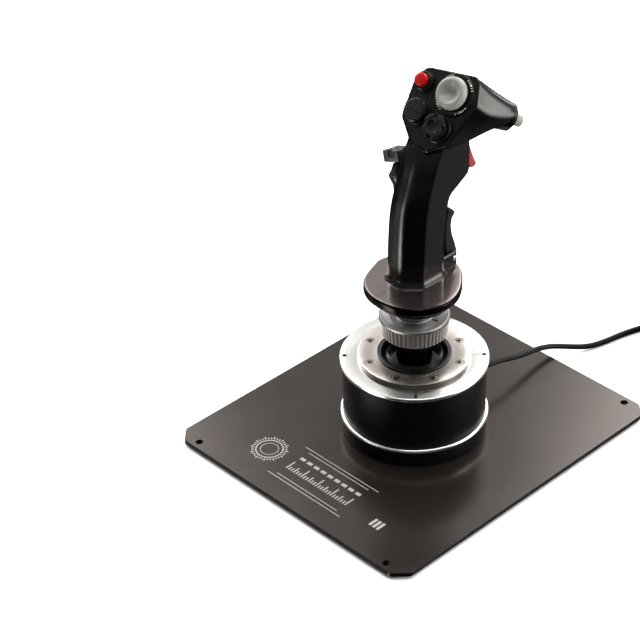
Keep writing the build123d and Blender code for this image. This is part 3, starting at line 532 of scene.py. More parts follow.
def boolean(mesh, other, operation):
    obj, cutter = temporary(mesh), temporary(other)
    cut = obj.modifiers.new("cut", "BOOLEAN")
    cut.operation = operation
    cut.solver = "MANIFOLD"
    cut.object = cutter
    made = settled(obj)
    bpy.data.objects.remove(cutter)
    return made


def minus(mesh, cutters):
    for cutter in cutters:
        mesh = boolean(mesh, cutter, "DIFFERENCE")
    return mesh


# ---- grip
# Column rows: height, rear, ridge and front in Y, left and right in X
COLUMN = [
    (129.5, -17.5, -7.5, 17.5, -14.0, 15.0),
    (150.0, -17.2, -6.2, 17.4, -14.0, 15.0),
    (172.0, -16.0, -5.2, 19.6, -14.0, 15.0),
    (190.5, -13.9, -3.1, 23.0, -14.0, 14.6),
    (197.5, -11.6, -1.5, 32.4, -13.7, 14.4),
    (203.0, -9.5, 0.3, 41.4, -13.5, 14.4),
    (209.0, -6.5, 3.0, 42.2, -13.4, 14.4),
    (220.0, -3.4, 7.0, 42.5, -13.6, 14.4),
    (227.0, -2.0, 8.5, 42.0, -13.8, 14.4),
    (233.0, 1.8, 12.0, 41.5, -14.0, 14.4),
    (244.0, 13.5, 21.0, 38.5, -14.0, 14.4),
]
COLUMN_RADII = [3.5, 7.0, 10.0, 12.5, 8.0]
FOOT_FLARE = [(131.5, 2.6), (132.6, 2.5), (133.4, 1.5), (134.6, 0.5), (136.5, 0.0)]
FACE_AZIMUTH, FACE_RISE = radians(8.0), radians(39.0)
FACE_ORIGIN = Vector((0, -4.3, 223.3))
FACE_OUTLINE = [(-14.6, 63), (-20.8, 55.5), (-20, 27), (-5, 11), (9, 9), (21, 18), (31.6, 49), (25.5, 67.6)]
HEAD = [
    (0.0, FACE_OUTLINE),
    (13.0, [(-9, 64), (-18, 55), (-18, 28), (-5, 14), (12, 14), (26, 25), (37, 47), (31.5, 65.7)]),
    (26.0, [(8, 62.5), (0, 54), (0, 43), (8, 37.5), (20, 36.5), (34, 40), (43.5, 49), (38.3, 63.6)]),
]
HEAD_RADII = [4.5, 6.0, 6.0, 6.0, 5.0, 5.0, 7.0, 5.5]
HEAD_RADII_BACK = [7.0, 8.0, 6.0, 6.0, 6.0, 7.0, 9.0, 10.0]
NOSE_AXIS = Vector((0.50, 0.72, -0.48)).normalized()
NOSE_TIP = Vector((28.8, 62.4, 241.0))
NOSE_R = 9.4
SIDE_ORIGIN = Vector((-20.5, 8.4, 201.3))
SIDE_AXIS = Vector((-0.34, 0.14, 0.93)).normalized()
REST_OUTLINE = [(-30.4, 2), (-28.6, -12), (-20.4, -29.3), (-7, -38.4), (8, -40), (21, -36.8), (34.2, -26.8),
                (40.2, -9), (35, 9), (19, 27), (1, 33), (-17, 26.5)]
TRIM_AT, WEAPON_AT, DATA_AT, TARGET_AT = (13.1, 51.0), (-11.6, 53.0), (-8.2, 33.0), (10.8, 26.6)

face_across = Vector((cos(FACE_AZIMUTH), sin(FACE_AZIMUTH), 0))
face_back = Vector((sin(FACE_AZIMUTH), -cos(FACE_AZIMUTH), 0))
face_normal = face_back * cos(FACE_RISE) + Vector((0, 0, sin(FACE_RISE)))
face_up = face_normal.cross(face_across)
nose_across = (face_across - NOSE_AXIS * face_across.dot(NOSE_AXIS)).normalized()
side_across = Vector((0, 1, 0)).cross(SIDE_AXIS).normalized()


def axes_matrix(origin, x_axis, z_axis):
    """Place with local Z along z_axis and local X along x_axis, origin in millimetres."""
    y_axis = z_axis.cross(x_axis)
    turn = Matrix((x_axis, y_axis, z_axis)).transposed().to_4x4()
    return Matrix.Translation(Vector(origin) * MM) @ turn


def on_face(place):
    origin = FACE_ORIGIN + face_across * place[0] + face_up * place[1]
    return axes_matrix(origin, face_across, face_normal)


SOFTEN_ROWS = 9                         # averaged on each side of a row


def softened_rows():
    """Rows of the column with the bend of its rear and flanks drawn out."""
    rows = smooth_rows(COLUMN, 1.5)
    made = []
    for i, (height, _, _, front, _, _) in enumerate(rows):
        near = rows[max(0, i - SOFTEN_ROWS):i + SOFTEN_ROWS + 1]
        mean = [sum(other[k] for other in near) / len(near) for k in range(6)]
        drift = height - mean[0]
        lean = (near[-1][1] - near[0][1]) / (near[-1][0] - near[0][0])
        made.append((height, mean[1] + lean * drift, mean[2] + lean * drift, front, mean[4], mean[5]))
    return made


def column_mesh():
    """Column of the grip: round rear, ridge at the right rear, flat right flank, flared foot."""
    sections = []
    for height, rear, ridge, front, left, right in softened_rows():
        slant = right - (ridge - rear)
        corners = [(right, ridge), (right, front), (left, front), (left, rear), (slant, rear)]
        flare = 0.0
        for (z0, f0), (z1, f1) in zip(FOOT_FLARE, FOOT_FLARE[1:]):
            if z0 <= height < z1:
                flare = f0 + (f1 - f0) * (height - z0) / (z1 - z0)
        if height < FOOT_FLARE[0][0]:
            flare = FOOT_FLARE[0][1]
        outline = rounded(inset(corners, -flare), [r + flare for r in COLUMN_RADII], 6)
        sections.append([(x, y, height) for x, y in outline])
    return loft(sections)


def head_mesh():
    """Head behind the thumb face, drawn forward and down into the nose."""
    stations = []
    for depth, corners in HEAD:
        radii = HEAD_RADII_BACK if depth else HEAD_RADII
        stations.append([FACE_ORIGIN + face_across * a + face_up * u - face_normal * depth
                         for a, u in rounded(corners, radii, 6)])
    nose_up = (-NOSE_AXIS).cross(nose_across)
    corner = NOSE_R / cos(pi / 8)
    turns = [radians(112.5 + i * 45) for i in range(8)]
    octagon = [(corner * cos(turn), corner * sin(turn)) for turn in turns]
    stations.append([NOSE_TIP + nose_across * a + nose_up * u for a, u in rounded(octagon, [5.5] * 8, 6)])
    sections = []
    for k in range(len(stations) - 1):
        four = [stations[max(0, min(len(stations) - 1, k + j))] for j in (-1, 0, 1, 2)]
        for i in range(10):
            sections.append([between(*points, i / 10) for points in zip(*four)])
    sections.append(stations[-1])
    return loft(sections)


def side_boss_mesh():
    root = Vector((-6.5, 9.5, 183.0))
    root_axis = Vector((-0.34, 0.04, 0.94)).normalized()
    sections = []
    for i in range(13):
        share = i / 12
        centre = root.lerp(SIDE_ORIGIN, share)
        axis = root_axis.lerp(SIDE_AXIS, share).normalized()
        first = Vector((0, 1, 0)).cross(axis).normalized()
        second = axis.cross(first)
        radius = 9.5 - 0.3 * share
        turns = [tau * j / 40 for j in range(40)]
        sections.append([centre + radius * (first * cos(turn) + second * sin(turn)) for turn in turns])
    return loft(sections)


def grip_cutters():
    recess = rounded(inset(FACE_OUTLINE, 1.3), [3.0, 4.5, 4.5, 4.5, 3.5, 3.5, 4.5, 3.0], 6)
    sections = [[FACE_ORIGIN + face_across * a + face_up * u + face_normal * h for a, u in recess]
                for h in (-3.0, 2.0)]
    side_low, side_high = SIDE_ORIGIN - SIDE_AXIS * 12.5, SIDE_ORIGIN + SIDE_AXIS * 7.5
    cutters = [
        loft(sections),
        block_mesh(-2.7, 7.7, 28, 60, 202.0, 228),
        rod_mesh((-5.5, 10, 186), (-5.5, 40, 186), 3.9),
        rod_mesh(NOSE_TIP - NOSE_AXIS * 9, NOSE_TIP + NOSE_AXIS * 5, 6.2),
        rod_mesh(side_low, side_high, 7.4),
        rod_mesh(SIDE_ORIGIN, SIDE_ORIGIN + SIDE_AXIS * 8, 8.6),
    ]
    for y, z in ((8.0, 152.0), (6.0, 178.0), (24.0, 214.0)):
        cutters.append(rod_mesh((-18, y, z), (-12.7, y, z), 2.5))
    return cutters


SEAM = 0.12


def halves(mesh):
    """Left and right part of a mesh by name, with the seam's gap between them."""
    left = boolean(mesh.copy(), block_mesh(-90, -SEAM, -90, 130, 60, 320), "INTERSECT")
    right = boolean(mesh, block_mesh(SEAM, 90, -90, 130, 60, 320), "INTERSECT")
    return ("left", left), ("right", right)


def make_grip():
    ears = [block_mesh(*sorted((side * 8.5, side * 11.0)), 12, 31.5, 131.5, 143, 1.2) for side in (-1, 1)]
    size, smoothing = ((0.7, 7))
    skin = voxel_union([column_mesh(), head_mesh(), side_boss_mesh(), *ears], size, smoothing)
    skin = minus(skin, grip_cutters())
    for side, half in halves(skin):
        new_object("grip_skin_" + side, half, "grip_metal", "stick", ["grip_shell_" + side],
                   smooth=40)


def rest_outline(inward):
    """Smooth closed outline of the hand rest, drawn in towards its middle."""
    count, points = len(REST_OUTLINE), []
    for i in range(count):
        four = [Vector(REST_OUTLINE[(i + k) % count]) for k in (-1, 0, 1, 2)]
        points += [between(*four, k / 12) for k in range(12)]
    middle = Vector((4, -4))
    made = []
    for p in points:
        arm = p - middle
        made.append(middle + arm * (1 - inward / arm.length))
    return made


# Inset and height of the hand rest's edge
REST_PROFILE = soften([(7.0, 121.5), (4.0, 121.5), (4.0, 126.0), (0.0, 126.0), (0.0, 132.5), (5.0, 132.5)],
                      1.5, 5)


def make_rest():
    sections = [[(p.x, p.y, z) for p in rest_outline(inward)] for inward, z in REST_PROFILE]
    for side, half in halves(loft(sections)):
        new_object("hand_rest_" + side, half, "rest_metal", "stick", smooth=40)


make_grip()
make_rest()


# ---- thumb controls
def add_piece(name, mesh, material, body, place, replaces=(), smooth=35.0):
    """New piece from a mesh in a local place, turned into the row frame."""
    mesh.transform(place)
    return new_object(name, mesh, material, body, replaces, smooth)


def curve_through(points):
    """Smooth line through (radius, height) points, in six steps from each to the next."""
    made = []
    for i in range(len(points) - 1):
        four = [Vector(points[max(0, min(len(points) - 1, i + k))]) for k in (-1, 0, 1, 2)]
        made += [tuple(between(*four, k / 6)) for k in range(6)]
    return made + [points[-1]]


def bevelled(mesh, width):
    """Mesh with its sharp edges rounded."""
    obj = temporary(mesh)
    bevel = obj.modifiers.new("bevel", "BEVEL")
    bevel.width = width * MM
    bevel.segments = 2
    bevel.limit_method = "ANGLE"
    bevel.angle_limit = radians(30)
    return settled(obj)


def blocks_around(count, *corners):
    """The same block at equal steps about local Z."""
    blocks = []
    for i in range(count):
        block = block_mesh(*corners)
        block.transform(about_z(tau * i / count))
        blocks.append(block)
    return blocks


def ring_mesh(inner, outer, low, high, corner, steps):
    """Turned ring about Z with rounded edges."""
    profile = [(inner, low), (outer, low), (outer, high), (inner, high), (inner, low)]
    return lathe_mesh(soften(profile, corner, steps)[:-1], 192)


def add_stem(name, body, place, top):
    """Stem of a hat, down through the face to its pivot."""
    stem = lathe_mesh([(0, STEM_FOOT), (STEM_R, STEM_FOOT), (STEM_R, top), (0, top)], 32)
    add_piece(name, stem, "black_plastic", body, place)


STEM_R, STEM_FOOT = 1.6, -8.7


def make_trim_hat():
    """Large dished hat on a ring with printed dashes."""
    place = on_face(TRIM_AT)
    rim = soften([(0, 3.4), (10.4, 3.4), (11.3, 4.3), (11.3, 5.4)], 0.5)
    crown = curve_through([(11.3, 5.4), (11.0, 6.6), (9.9, 8.2), (8.4, 8.9), (6.9, 8.4), (5.0, 7.0),
                           (2.8, 5.2), (1.1, 4.3), (0, 4.2)])
    add_piece("trim_hat", lathe_mesh(rim + crown[1:], 128), "pale_plastic", "trim_hat", place,
              ["trim_hat_cap"], smooth=60)
    add_stem("trim_hat_stem", "trim_hat", place, 3.6)
    ring = soften([(3.6, 0), (14.6, 0), (14.6, 0.7), (14.0, 1.2), (12.1, 1.2), (11.8, 0.9), (3.6, 0.9)], 0.25)
    add_piece("trim_ring", lathe_mesh(ring, 128), "black_plastic", "stick", place, ["trim_hat_ring"])
    marks = []
    for group in range(4):
        for i in range(-2, 3):
            wide = 0.28 if i else 0.75
            mark = block_mesh(12.5, 13.7, -wide, wide, 1.12, 1.25)
            mark.transform(about_z(radians(-45 + 90 * group + i * 8.5)))
            marks.append(mark)
    add_piece("trim_ring_marks", join_meshes(marks), "white_ink", "stick", place,
              smooth=None)


def make_target_hat():
    """Round hat with four notches and a dish."""
    place = on_face(TARGET_AT)
    body = soften([(0, 4.0), (7.8, 4.0), (8.6, 5.0), (8.6, 7.6), (8.0, 8.3), (4.4, 8.3), (3.8, 7.1),
                   (0, 6.8)], 0.35)
    cap = bevelled(minus(lathe_mesh(body), blocks_around(4, 6.0, 10.0, -2.1, 2.1, 5.9, 9.0)), 0.25)
    add_piece("target_hat", cap, "black_plastic", "target_hat", place, ["target_hat_cap"], smooth=30)
    add_stem("target_hat_stem", "target_hat", place, 4.2)
    ring = soften([(3.6, 0), (9.7, 0), (9.7, 0.9), (9.0, 1.7), (8.2, 1.7), (7.6, 1.2), (3.6, 1.1)], 0.3)
    add_piece("target_ring", lathe_mesh(ring), "black_plastic", "stick", place, ["target_hat_base"])


def make_data_hat():
    """Round rocker with ribs across it."""
    place = on_face(DATA_AT)
    body = lathe_mesh(soften([(0, 3.0), (7.2, 3.0), (8.2, 3.8), (8.2, 5.0), (7.4, 5.7), (0, 6.1)], 0.4))
    ribs = []
    for i in range(-4, 5):
        across = i * 1.72
        half = (7.9 ** 2 - across ** 2) ** 0.5
        top = 7.2 - 0.018 * across ** 2
        ribs.append(block_mesh(-half, half, across - 0.52, across + 0.52, 3.6, top, 0.3, 3))
    add_piece("data_hat", join_meshes([body, *ribs]), "black_plastic", "data_hat", place, ["data_hat_cap"])
    add_stem("data_hat_stem", "data_hat", place, 3.2)
    ring = soften([(3.6, 0), (9.0, 0), (9.0, 0.7), (8.6, 1.2), (3.6, 1.2)], 0.25)
    add_piece("data_ring", lathe_mesh(ring), "black_plastic", "stick", place, ["data_hat_base"])


def make_weapon_button():
    place = on_face(WEAPON_AT)
    crown = curve_through([(4.6, 7.2), (4.35, 7.9), (3.4, 8.4), (1.8, 8.65), (0, 8.7)])
    dome = soften([(0, 2.0), (4.4, 2.0), (4.6, 2.3), (4.6, 7.2)], 0.2)
    add_piece("weapon_cap", lathe_mesh(dome + crown[1:], 72), "red_plastic", "weapon_button", place,
              ["weapon_button"], smooth=50)
    collar = soften([(5.0, 0), (6.9, 0), (6.9, 1.3), (6.3, 1.5), (6.3, 1.9), (6.7, 2.1), (6.7, 3.0),
                     (6.0, 3.2), (6.0, 3.6), (6.3, 3.8), (6.3, 4.3), (5.7, 4.6), (5.0, 4.6)], 0.15)
    add_piece("weapon_collar", lathe_mesh(collar, 72), "gloss_black", "stick", place,
              ["weapon_button_collar"])


def make_nose_button():
    place = axes_matrix(NOSE_TIP, nose_across, NOSE_AXIS)
    crown = curve_through([(4.1, 7.0), (3.9, 7.6), (3.1, 8.05), (1.6, 8.2), (0, 8.2)])
    cap = soften([(0, -1.5), (2.0, -1.5), (2.0, 1.0), (4.1, 1.0), (4.1, 7.0)], 0.2)
    add_piece("nose_cap", lathe_mesh(cap + crown[1:], 64), "pale_plastic", "nose_button", place,
              ["nose_button"], smooth=50)
    profile = soften([(4.5, -3.4), (6.1, -3.4), (6.1, 0.1), (7.4, 0.1), (7.4, 1.0), (6.4, 1.8), (4.5, 1.8)],
                     0.25)
    bezel = minus(lathe_mesh(profile), blocks_around(12, 6.9, 8.0, -0.5, 0.5, -0.5, 2.5))
    add_piece("nose_bezel", bezel, "gloss_black", "stick", place, ["nose_button_bezel"])


def make_side_hat():
    """Square castle hat on its bellows."""
    place = axes_matrix(SIDE_ORIGIN, side_across, SIDE_AXIS)
    body = block_mesh(-7.6, 7.6, -7.6, 7.6, 8.8, 17.2, 0.9, 3)
    dish = lathe_mesh([(0, 16.2), (3.2, 16.5), (4.6, 18.2), (0, 18.2)], 48)
    cap = bevelled(minus(body, [*blocks_around(4, 6.2, 9.0, -2.3, 2.3, 12.4, 19.0), dish]), 0.22)
    add_piece("side_hat", cap, "grey_plastic", "side_hat", place, ["side_hat_cap"], smooth=30)
    stem = [(0, STEM_FOOT), (STEM_R, STEM_FOOT), (STEM_R, 1.0), (1.2, 2.0), (1.2, 7.7), (2.6, 8.3),
            (2.6, 9.2), (0, 9.2)]
    add_piece("side_hat_stem", lathe_mesh(stem, 40), "black_plastic", "side_hat", place)
    bellows = soften([(4.1, 0.1), (8.2, 0.1), (8.2, 1.3), (6.9, 1.7), (7.2, 2.9), (5.9, 3.3), (6.3, 4.4),
                      (5.2, 4.8), (5.6, 5.8), (4.7, 6.2), (4.9, 7.0), (4.1, 7.0)], 0.45)
    add_piece("side_boot", lathe_mesh(bellows, 72), "rubber_black", "stick", place,
              ["side_hat_boot"], smooth=50)


def extruded(points, x0, x1, bevel):
    """Plate cut to (Y, Z) points, between two X planes, with rounded edges."""
    work = bmesh.new()
    low = [work.verts.new(Vector((x0, y, z)) * MM) for y, z in points]
    high = [work.verts.new(Vector((x1, y, z)) * MM) for y, z in points]
    work.faces.new(low)
    work.faces.new(list(reversed(high)))
    for i in range(len(points)):
        j = (i + 1) % len(points)
        work.faces.new((low[j], low[i], high[i], high[j]))
    bmesh.ops.recalc_face_normals(work, faces=work.faces)
    rims = [e for e in work.edges if abs(e.verts[0].co.x - e.verts[1].co.x) < 1e-9]
    bmesh.ops.bevel(work, geom=rims, offset=bevel * MM, segments=4, profile=0.5, affect="EDGES",
                    clamp_overlap=True)
    return finished(work)


TRIGGER_PIN = (34.0, 223.0)
PADDLE_PIN = (28.0, 138.0)


def make_trigger():
    """Hooked blade that comes out of the grip's slot."""
    y, z = TRIGGER_PIN
    outline = [(y + 4, z - 3), (42.0, 219.0), (46.5, 218.0), (48.6, 212.5), (51.0, 206.5), (53.9, 200.6),
               (51.6, 198.8), (46.9, 199.8), (44.9, 206.6), (43.0, 211.6), (38.5, 213.5), (y, z - 4.5),
               (y - 3, z - 2), (y - 3, z + 2), (y, z + 4), (y + 4, z + 1)]
    outline = rounded(outline, [1.2] * len(outline), 3)
    add_piece("trigger_blade", extruded(outline, -2.0, 7.0, 0.9), "trigger_red", "trigger",
              Matrix.Identity(4), ["trigger"])


def make_paddle():
    """Long finger lever: smooth curve in side view, rounded edges and a bright worn tip."""
    y, z = PADDLE_PIN
    outline = [(y - 3.6, z - 3.6), (33.4, z - 3.8), (34.0, z + 1), (33.5, 142), (31.7, 148), (28.9, 156),
               (27.8, 163), (28.7, 168.6), (31.6, 171.8), (30.8, 173.6), (27.2, 177.4), (25.2, 177.4),
               (23.4, 170), (22.4, 162), (22.2, 152), (y - 4.4, z + 3)]
    radii = [1, 1, 2, 4, 8, 10, 6, 3, 0.6, 0.8, 1, 1, 4, 8, 6, 2]
    outline = rounded(outline, radii, 5)
    add_piece("paddle_lever", extruded(outline, -8.1, 8.1, 1.1), "paddle_metal", "paddle",
              Matrix.Identity(4), ["paddle"])
    screw = lathe_mesh(soften([(0, 0), (1.9, 0), (1.9, 0.5), (1.3, 0.9), (0, 0.9)], 0.2), 32)
    socket = lathe_mesh([(0, 0.5), (0.8, 0.5), (0.8, 1.2), (0, 1.2)], 6)
    place = Matrix.Translation(mm(11.0, y, z)) @ Matrix.Rotation(pi / 2, 4, "Y")
    add_piece("paddle_screw", minus(screw, [socket]), "bright_metal", "stick", place)


# ---- collar, rings and base details
def make_collar():
    """Knurled ring nut: fine upright ribs, a smooth band, a dished cone above."""
    ribs, per_rib = 48, 8
    knurl_inside, knurl_low, knurl_top, groove = 22.4, 86.0, 98.2, 0.85
    profile = soften([(19.9, 86.0), (23.0, 86.0), (23.5, 86.5), (24.55, 97.8), (25.0, 98.5), (25.0, 100.4),
                      (24.2, 101.3), (23.0, 101.3), (18.0, 100.2), (13.2, 99.9), (12.6, 100.5), (12.6, 105.5),
                      (12.1, 106.0), (11.2, 106.0), (11.2, 97.6), (19.9, 97.6), (19.9, 86.0)], 0.35, 3)[:-1]
    mesh = lathe_mesh(profile, ribs * per_rib)
    for vert in mesh.vertices:
        radius, height = vert.co.xy.length / MM, vert.co.z / MM
        if radius > knurl_inside and height < knurl_top:
            angle = vert.co.xy.angle_signed(Vector((1, 0)))
            wave = abs(sin(angle * ribs / 2))
            fade = min(1.0, (knurl_top - height) / 0.6) * min(1.0, (height - knurl_low) / 0.5 + 0.2)
            vert.co.xy *= (radius - groove * fade * (1 - wave ** 0.7)) / radius
    notch = block_mesh(13.6, 18.8, -0.9, 0.9, 98.9, 108, 0.3)
    notch.transform(about_z(radians(14)))
    drill = rod_mesh((-25.5, -13.4, 92.6), (-18.0, -9.5, 92.6), 1.1, 24)
    mesh = minus(mesh, [notch, drill])
    new_object("collar", mesh, "collar_metal", "collar", ["collar_nut"], smooth=32)


SET_SCREW_CIRCLE_R, RING_SCREW_CIRCLE_R = 49.4, 34.0
RING_SCREW_ANGLES = [radians(-68.4 + 45 * i) for i in range(8)]
MOUNTING_RING_TOP = 67.8
CORD_OUT, CORD_HEIGHT = Vector((sin(radians(8)), cos(radians(8)), 0)), Vector((0, 0, 26))


def on_circle(radius, angle):
    return Vector((radius * cos(angle), radius * sin(angle), 0))


def make_rings():
    """Turned rings of the base, with small rounded edges and their screw holes."""
    lower = ring_mesh(46.0, 53.2, 17.0, 20.0, 1.35, 6)
    new_object("lower_ring_turned", lower, "bright_metal", "base", ["lower_ring"])
    top = ring_mesh(27.5, 53.0, 61.8, 64.8, 0.9, 5)
    holes = []
    for i in range(4):
        place = on_circle(SET_SCREW_CIRCLE_R, radians(45 + 90 * i))
        holes.append(rod_mesh(place + Vector((0, 0, 60)), place + Vector((0, 0, 66)), 1.4, 32))
    new_object("top_ring_turned", minus(top, holes), "bright_metal", "base", ["top_ring"])
    ring = ring_mesh(25.5, 40.5, 64.82, MOUNTING_RING_TOP, 0.55, 4)
    sinks = []
    for angle in RING_SCREW_ANGLES:
        sink = lathe_mesh([(0, -2.7), (1.7, -2.7), (1.7, -1.5), (3.0, -0.3), (3.0, 1.0), (0, 1.0)], 40)
        place = on_circle(RING_SCREW_CIRCLE_R, angle) + Vector((0, 0, MOUNTING_RING_TOP))
        sink.transform(Matrix.Translation(place * MM))
        sinks.append(sink)
    new_object("mounting_ring_turned", minus(ring, sinks), "champagne_metal", "base",
               ["mounting_ring"])
    bezel = soften([(23.5, 64.8), (25.4, 64.8), (25.4, 67.85), (26.6, 67.85), (26.6, 68.6), (25.9, 69.0),
                    (24.2, 69.0), (23.5, 68.2), (23.5, 64.8)], 0.45, 5)[:-1]
    new_object("bezel_lip", lathe_mesh(bezel, 160), "bezel_black", "base", ["dust_bezel"])


def make_ring_screws():
    """Countersunk socket screws of the mounting ring."""
    screws = []
    head = soften([(0, 63.0), (1.5, 63.0), (1.5, 66.35), (2.85, 67.4), (2.85, 67.72), (0, 67.72)], 0.12)
    for angle in RING_SCREW_ANGLES:
        socket = lathe_mesh([(0, 66.0), (1.3, 66.0), (1.45, 67.9), (0, 67.9)], 6)
        screw = minus(lathe_mesh(head, 40), [socket])
        place = on_circle(RING_SCREW_CIRCLE_R, angle) * MM
        screw.transform(Matrix.Translation(place) @ about_z(angle))
        screws.append(screw)
    new_object("ring_screws", join_meshes(screws), "screw_steel", "base",
               ["mounting_ring_screws"], smooth=30)


def make_housing():
    """Round wall with a lightly chamfered rim and a bore for the cord."""
    wall = ring_mesh(47.3, 51.3, 20.0, 61.8, 0.4, 3)
    hole = rod_mesh(CORD_OUT * 40 + CORD_HEIGHT, CORD_OUT * 60 + CORD_HEIGHT, 3.7)
    wall = minus(wall, [hole])
    new_object("housing_wall", wall, "housing_metal", "base", ["housing_shell"])
    foot = ring_mesh(46.0, 52.0, 5.0, 17.0, 0.8, 4)
    new_object("foot_ring", foot, "housing_metal", "base", ["base_foot_ring"])


PLATE_HOLE_R, PLATE_HOLE_SPACING = 2.9, (188.0, 247.6)


def make_hole_shade_sleeves():
    """Painted shade: dark sleeves lining the bores of the plate's corner holes, where the bores lie in
    shadow.
    """
    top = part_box("base_plate")[1].z / MM
    inner, outer, low, high = PLATE_HOLE_R - 0.25, PLATE_HOLE_R - 0.01, 0.4, top - 0.05
    shade_sleeves = []
    for x in (-0.5, 0.5):
        for y in (-0.5, 0.5):
            shade_sleeve = lathe_mesh([(inner, low), (outer, low), (outer, high), (inner, high), (inner, low)], 40)
            shade_sleeve.transform(Matrix.Translation(mm(x * PLATE_HOLE_SPACING[0], y * PLATE_HOLE_SPACING[1], 0)))
            shade_sleeves.append(shade_sleeve)
    new_object("hole_shade_sleeves", join_meshes(shade_sleeves), "rubber_black", "base", smooth=30)


EMBLEM_AT = mm(-52.2, -94.4, 0)


def make_plate_print():
    """Plain printed marks on the plate: a ring of ticks, fine lines and a bar scale."""
    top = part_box("base_plate")[1].z / MM
    lift = (top - 0.02, top + 0.05)
    marks = []
    for y, half in ((-75.0, 36.5), (-78.2, 30.0), (-109.0, 30.0), (-112.2, 36.0)):
        marks.append(block_mesh(1.4 - half, 1.4 + half, y - 0.3, y + 0.3, *lift))
    for i in range(25):
        tall = 9.0 if i % 6 == 0 else 6.0 if i % 3 == 0 else 3.6
        x = -28.0 + i * 2.45
        marks.append(block_mesh(x - 0.55, x + 0.55, -101.0, -101.0 + tall, *lift))
    for i in range(9):
        x = -26.0 + i * 6.9
        marks.append(block_mesh(x - 2.3, x + 2.3, -87.6, -84.8, *lift))
    for i in range(36):
        reach = 14.0 if i % 3 == 0 else 13.0
        tick = block_mesh(11.2, reach, -0.45, 0.45, *lift)
        tick.transform(Matrix.Translation(EMBLEM_AT) @ about_z(tau * i / 36))
        marks.append(tick)
    for outer, inner in ((10.2, 9.3), (6.8, 6.3)):
        ring = lathe_mesh([(inner, lift[0]), (outer, lift[0]), (outer, lift[1]), (inner, lift[1])], 72)
        ring.transform(Matrix.Translation(EMBLEM_AT))
        marks.append(ring)
    for x in (58.0, 61.5, 65.0):
        marks.append(block_mesh(x - 1.1, x + 1.1, -104.0, -96.0, *lift))
    new_object("plate_print", join_meshes(marks), "print_grey", "base", smooth=None)


# ---- lead fittings
def make_relief():
    """Ribbed strain relief at the back of the housing."""
    profile = [(0, 43.6), (5.2, 43.6), (5.2, 46.4), (3.6, 46.9), (3.6, 51.6), (5.0, 51.6), (5.0, 53.2)]
    for i in range(6):
        station, radius = 54.0 + i * 1.95, 4.5 - i * 0.28
        profile += [(radius, station), (radius, station + 1.0), (radius - 0.75, station + 1.15),
                    (radius - 0.75, station + 1.8)]
    profile += [(2.9, 65.6), (2.6, 66.0), (0, 66.0)]
    place = axes_matrix(CORD_HEIGHT, Vector((0, 0, 1)).cross(CORD_OUT), CORD_OUT)
    return add_piece("strain_relief", lathe_mesh(soften(profile, 0.2, 3), 48), "rubber_black", "base", place,
                     ["cord_strain_relief"])


def make_plug():
    """Moulded plug on the desk beside the coil: neck, grooved body, metal shell with its tongue."""
    end = CORD_TAIL[-1]
    place = Matrix.Translation(mm(end[0], end[1] - 9, 0)) @ about_z(pi)
    body = block_mesh(-8, 8, 0, 18, 0, 8, 1.8, 5)
    grooves = [block_mesh(side - 0.5, side + 0.5, y - 0.4, y + 0.4, 1.6, 6.4)
               for side in (-8, 8) for y in (4.0, 6.4, 8.8, 11.2)]
    neck = [(3.2, -8.6)]
    for i in range(4):
        station = -7.6 + i * 2.0
        neck += [(3.3, station), (3.3, station + 1.1), (2.7, station + 1.3), (2.7, station + 1.8)]
    neck = [(0, -8.6), *neck, (3.3, 0.6), (0, 0.6)]
    neck_mesh = lathe_mesh(soften(neck, 0.15, 3), 40)
    neck_mesh.transform(Matrix.Translation(mm(0, 0, 4.1)) @ Matrix.Rotation(-pi / 2, 4, "X"))
    plug = add_piece("plug_body", join_meshes([minus(body, grooves), neck_mesh]), "plug_black", "base", place,
                     ["usb_plug"])
    shell = block_mesh(-6, 6, 17.9, 31, 1.75, 6.25, 0.35, 3)
    cuts = [block_mesh(-5.6, 5.6, 20, 32, 2.1, 5.9)]
    for x in (-3.0, 3.0):
        cuts.append(block_mesh(x - 1.0, x + 1.0, 23.5, 25.7, 5, 7))
    add_piece("plug_shell", minus(shell, cuts), "magnet_nickel", "base", place)
    tongue = block_mesh(-5.2, 5.2, 19.5, 30.2, 2.2, 4.1, 0.2)
    add_piece("plug_tongue", tongue, "pale_plastic", "base", place)
    return plug


def make_tie():
    """Hook-and-loop strap round the coil, with its free end lapped over."""
    angle = radians(-60)
    place = Matrix.Translation((Vector((*COIL_CENTRE, 0)) + on_circle(COIL_ROWS[1], angle)) * MM)
    place = place @ about_z(angle)
    outer = block_mesh(-8.0, 7.9, -4, 4, 0.02, 18.0, 1.6, 5)
    inner = block_mesh(-6.8, 6.7, -6, 6, 0.02, 16.95, 1.2, 4)
    lap = block_mesh(-1.0, 7.6, -3.9, 3.9, 17.5, 18.0, 0.2, 2)
    return add_piece("lead_tie", join_meshes([minus(outer, [inner]), lap]), "rubber_black", "base", place,
                     ["cord_tie"])


make_trim_hat()
make_target_hat()
make_data_hat()
make_weapon_button()
make_nose_button()
make_side_hat()
make_trigger()
make_paddle()
make_collar()
make_rings()
make_ring_screws()
make_housing()
make_hole_shade_sleeves()
make_plate_print()
relief = make_relief()
plug = make_plug()
tie = make_tie()


# ---- floor and light
def make_floor():
    half = 40.0
    mesh = bpy.data.meshes.new("floor")
    mesh.from_pydata([(-half, -half, 0), (half, -half, 0), (half, half, 0), (-half, half, 0)], [],
                     [(0, 1, 2, 3)])
    floor = new_object("floor", mesh, "floor_white", smooth=None)
    floor.location.z = -0.02 * MM
    floor.visible_glossy = False


LIGHT_AIM = Vector((0, 0, 0.12))


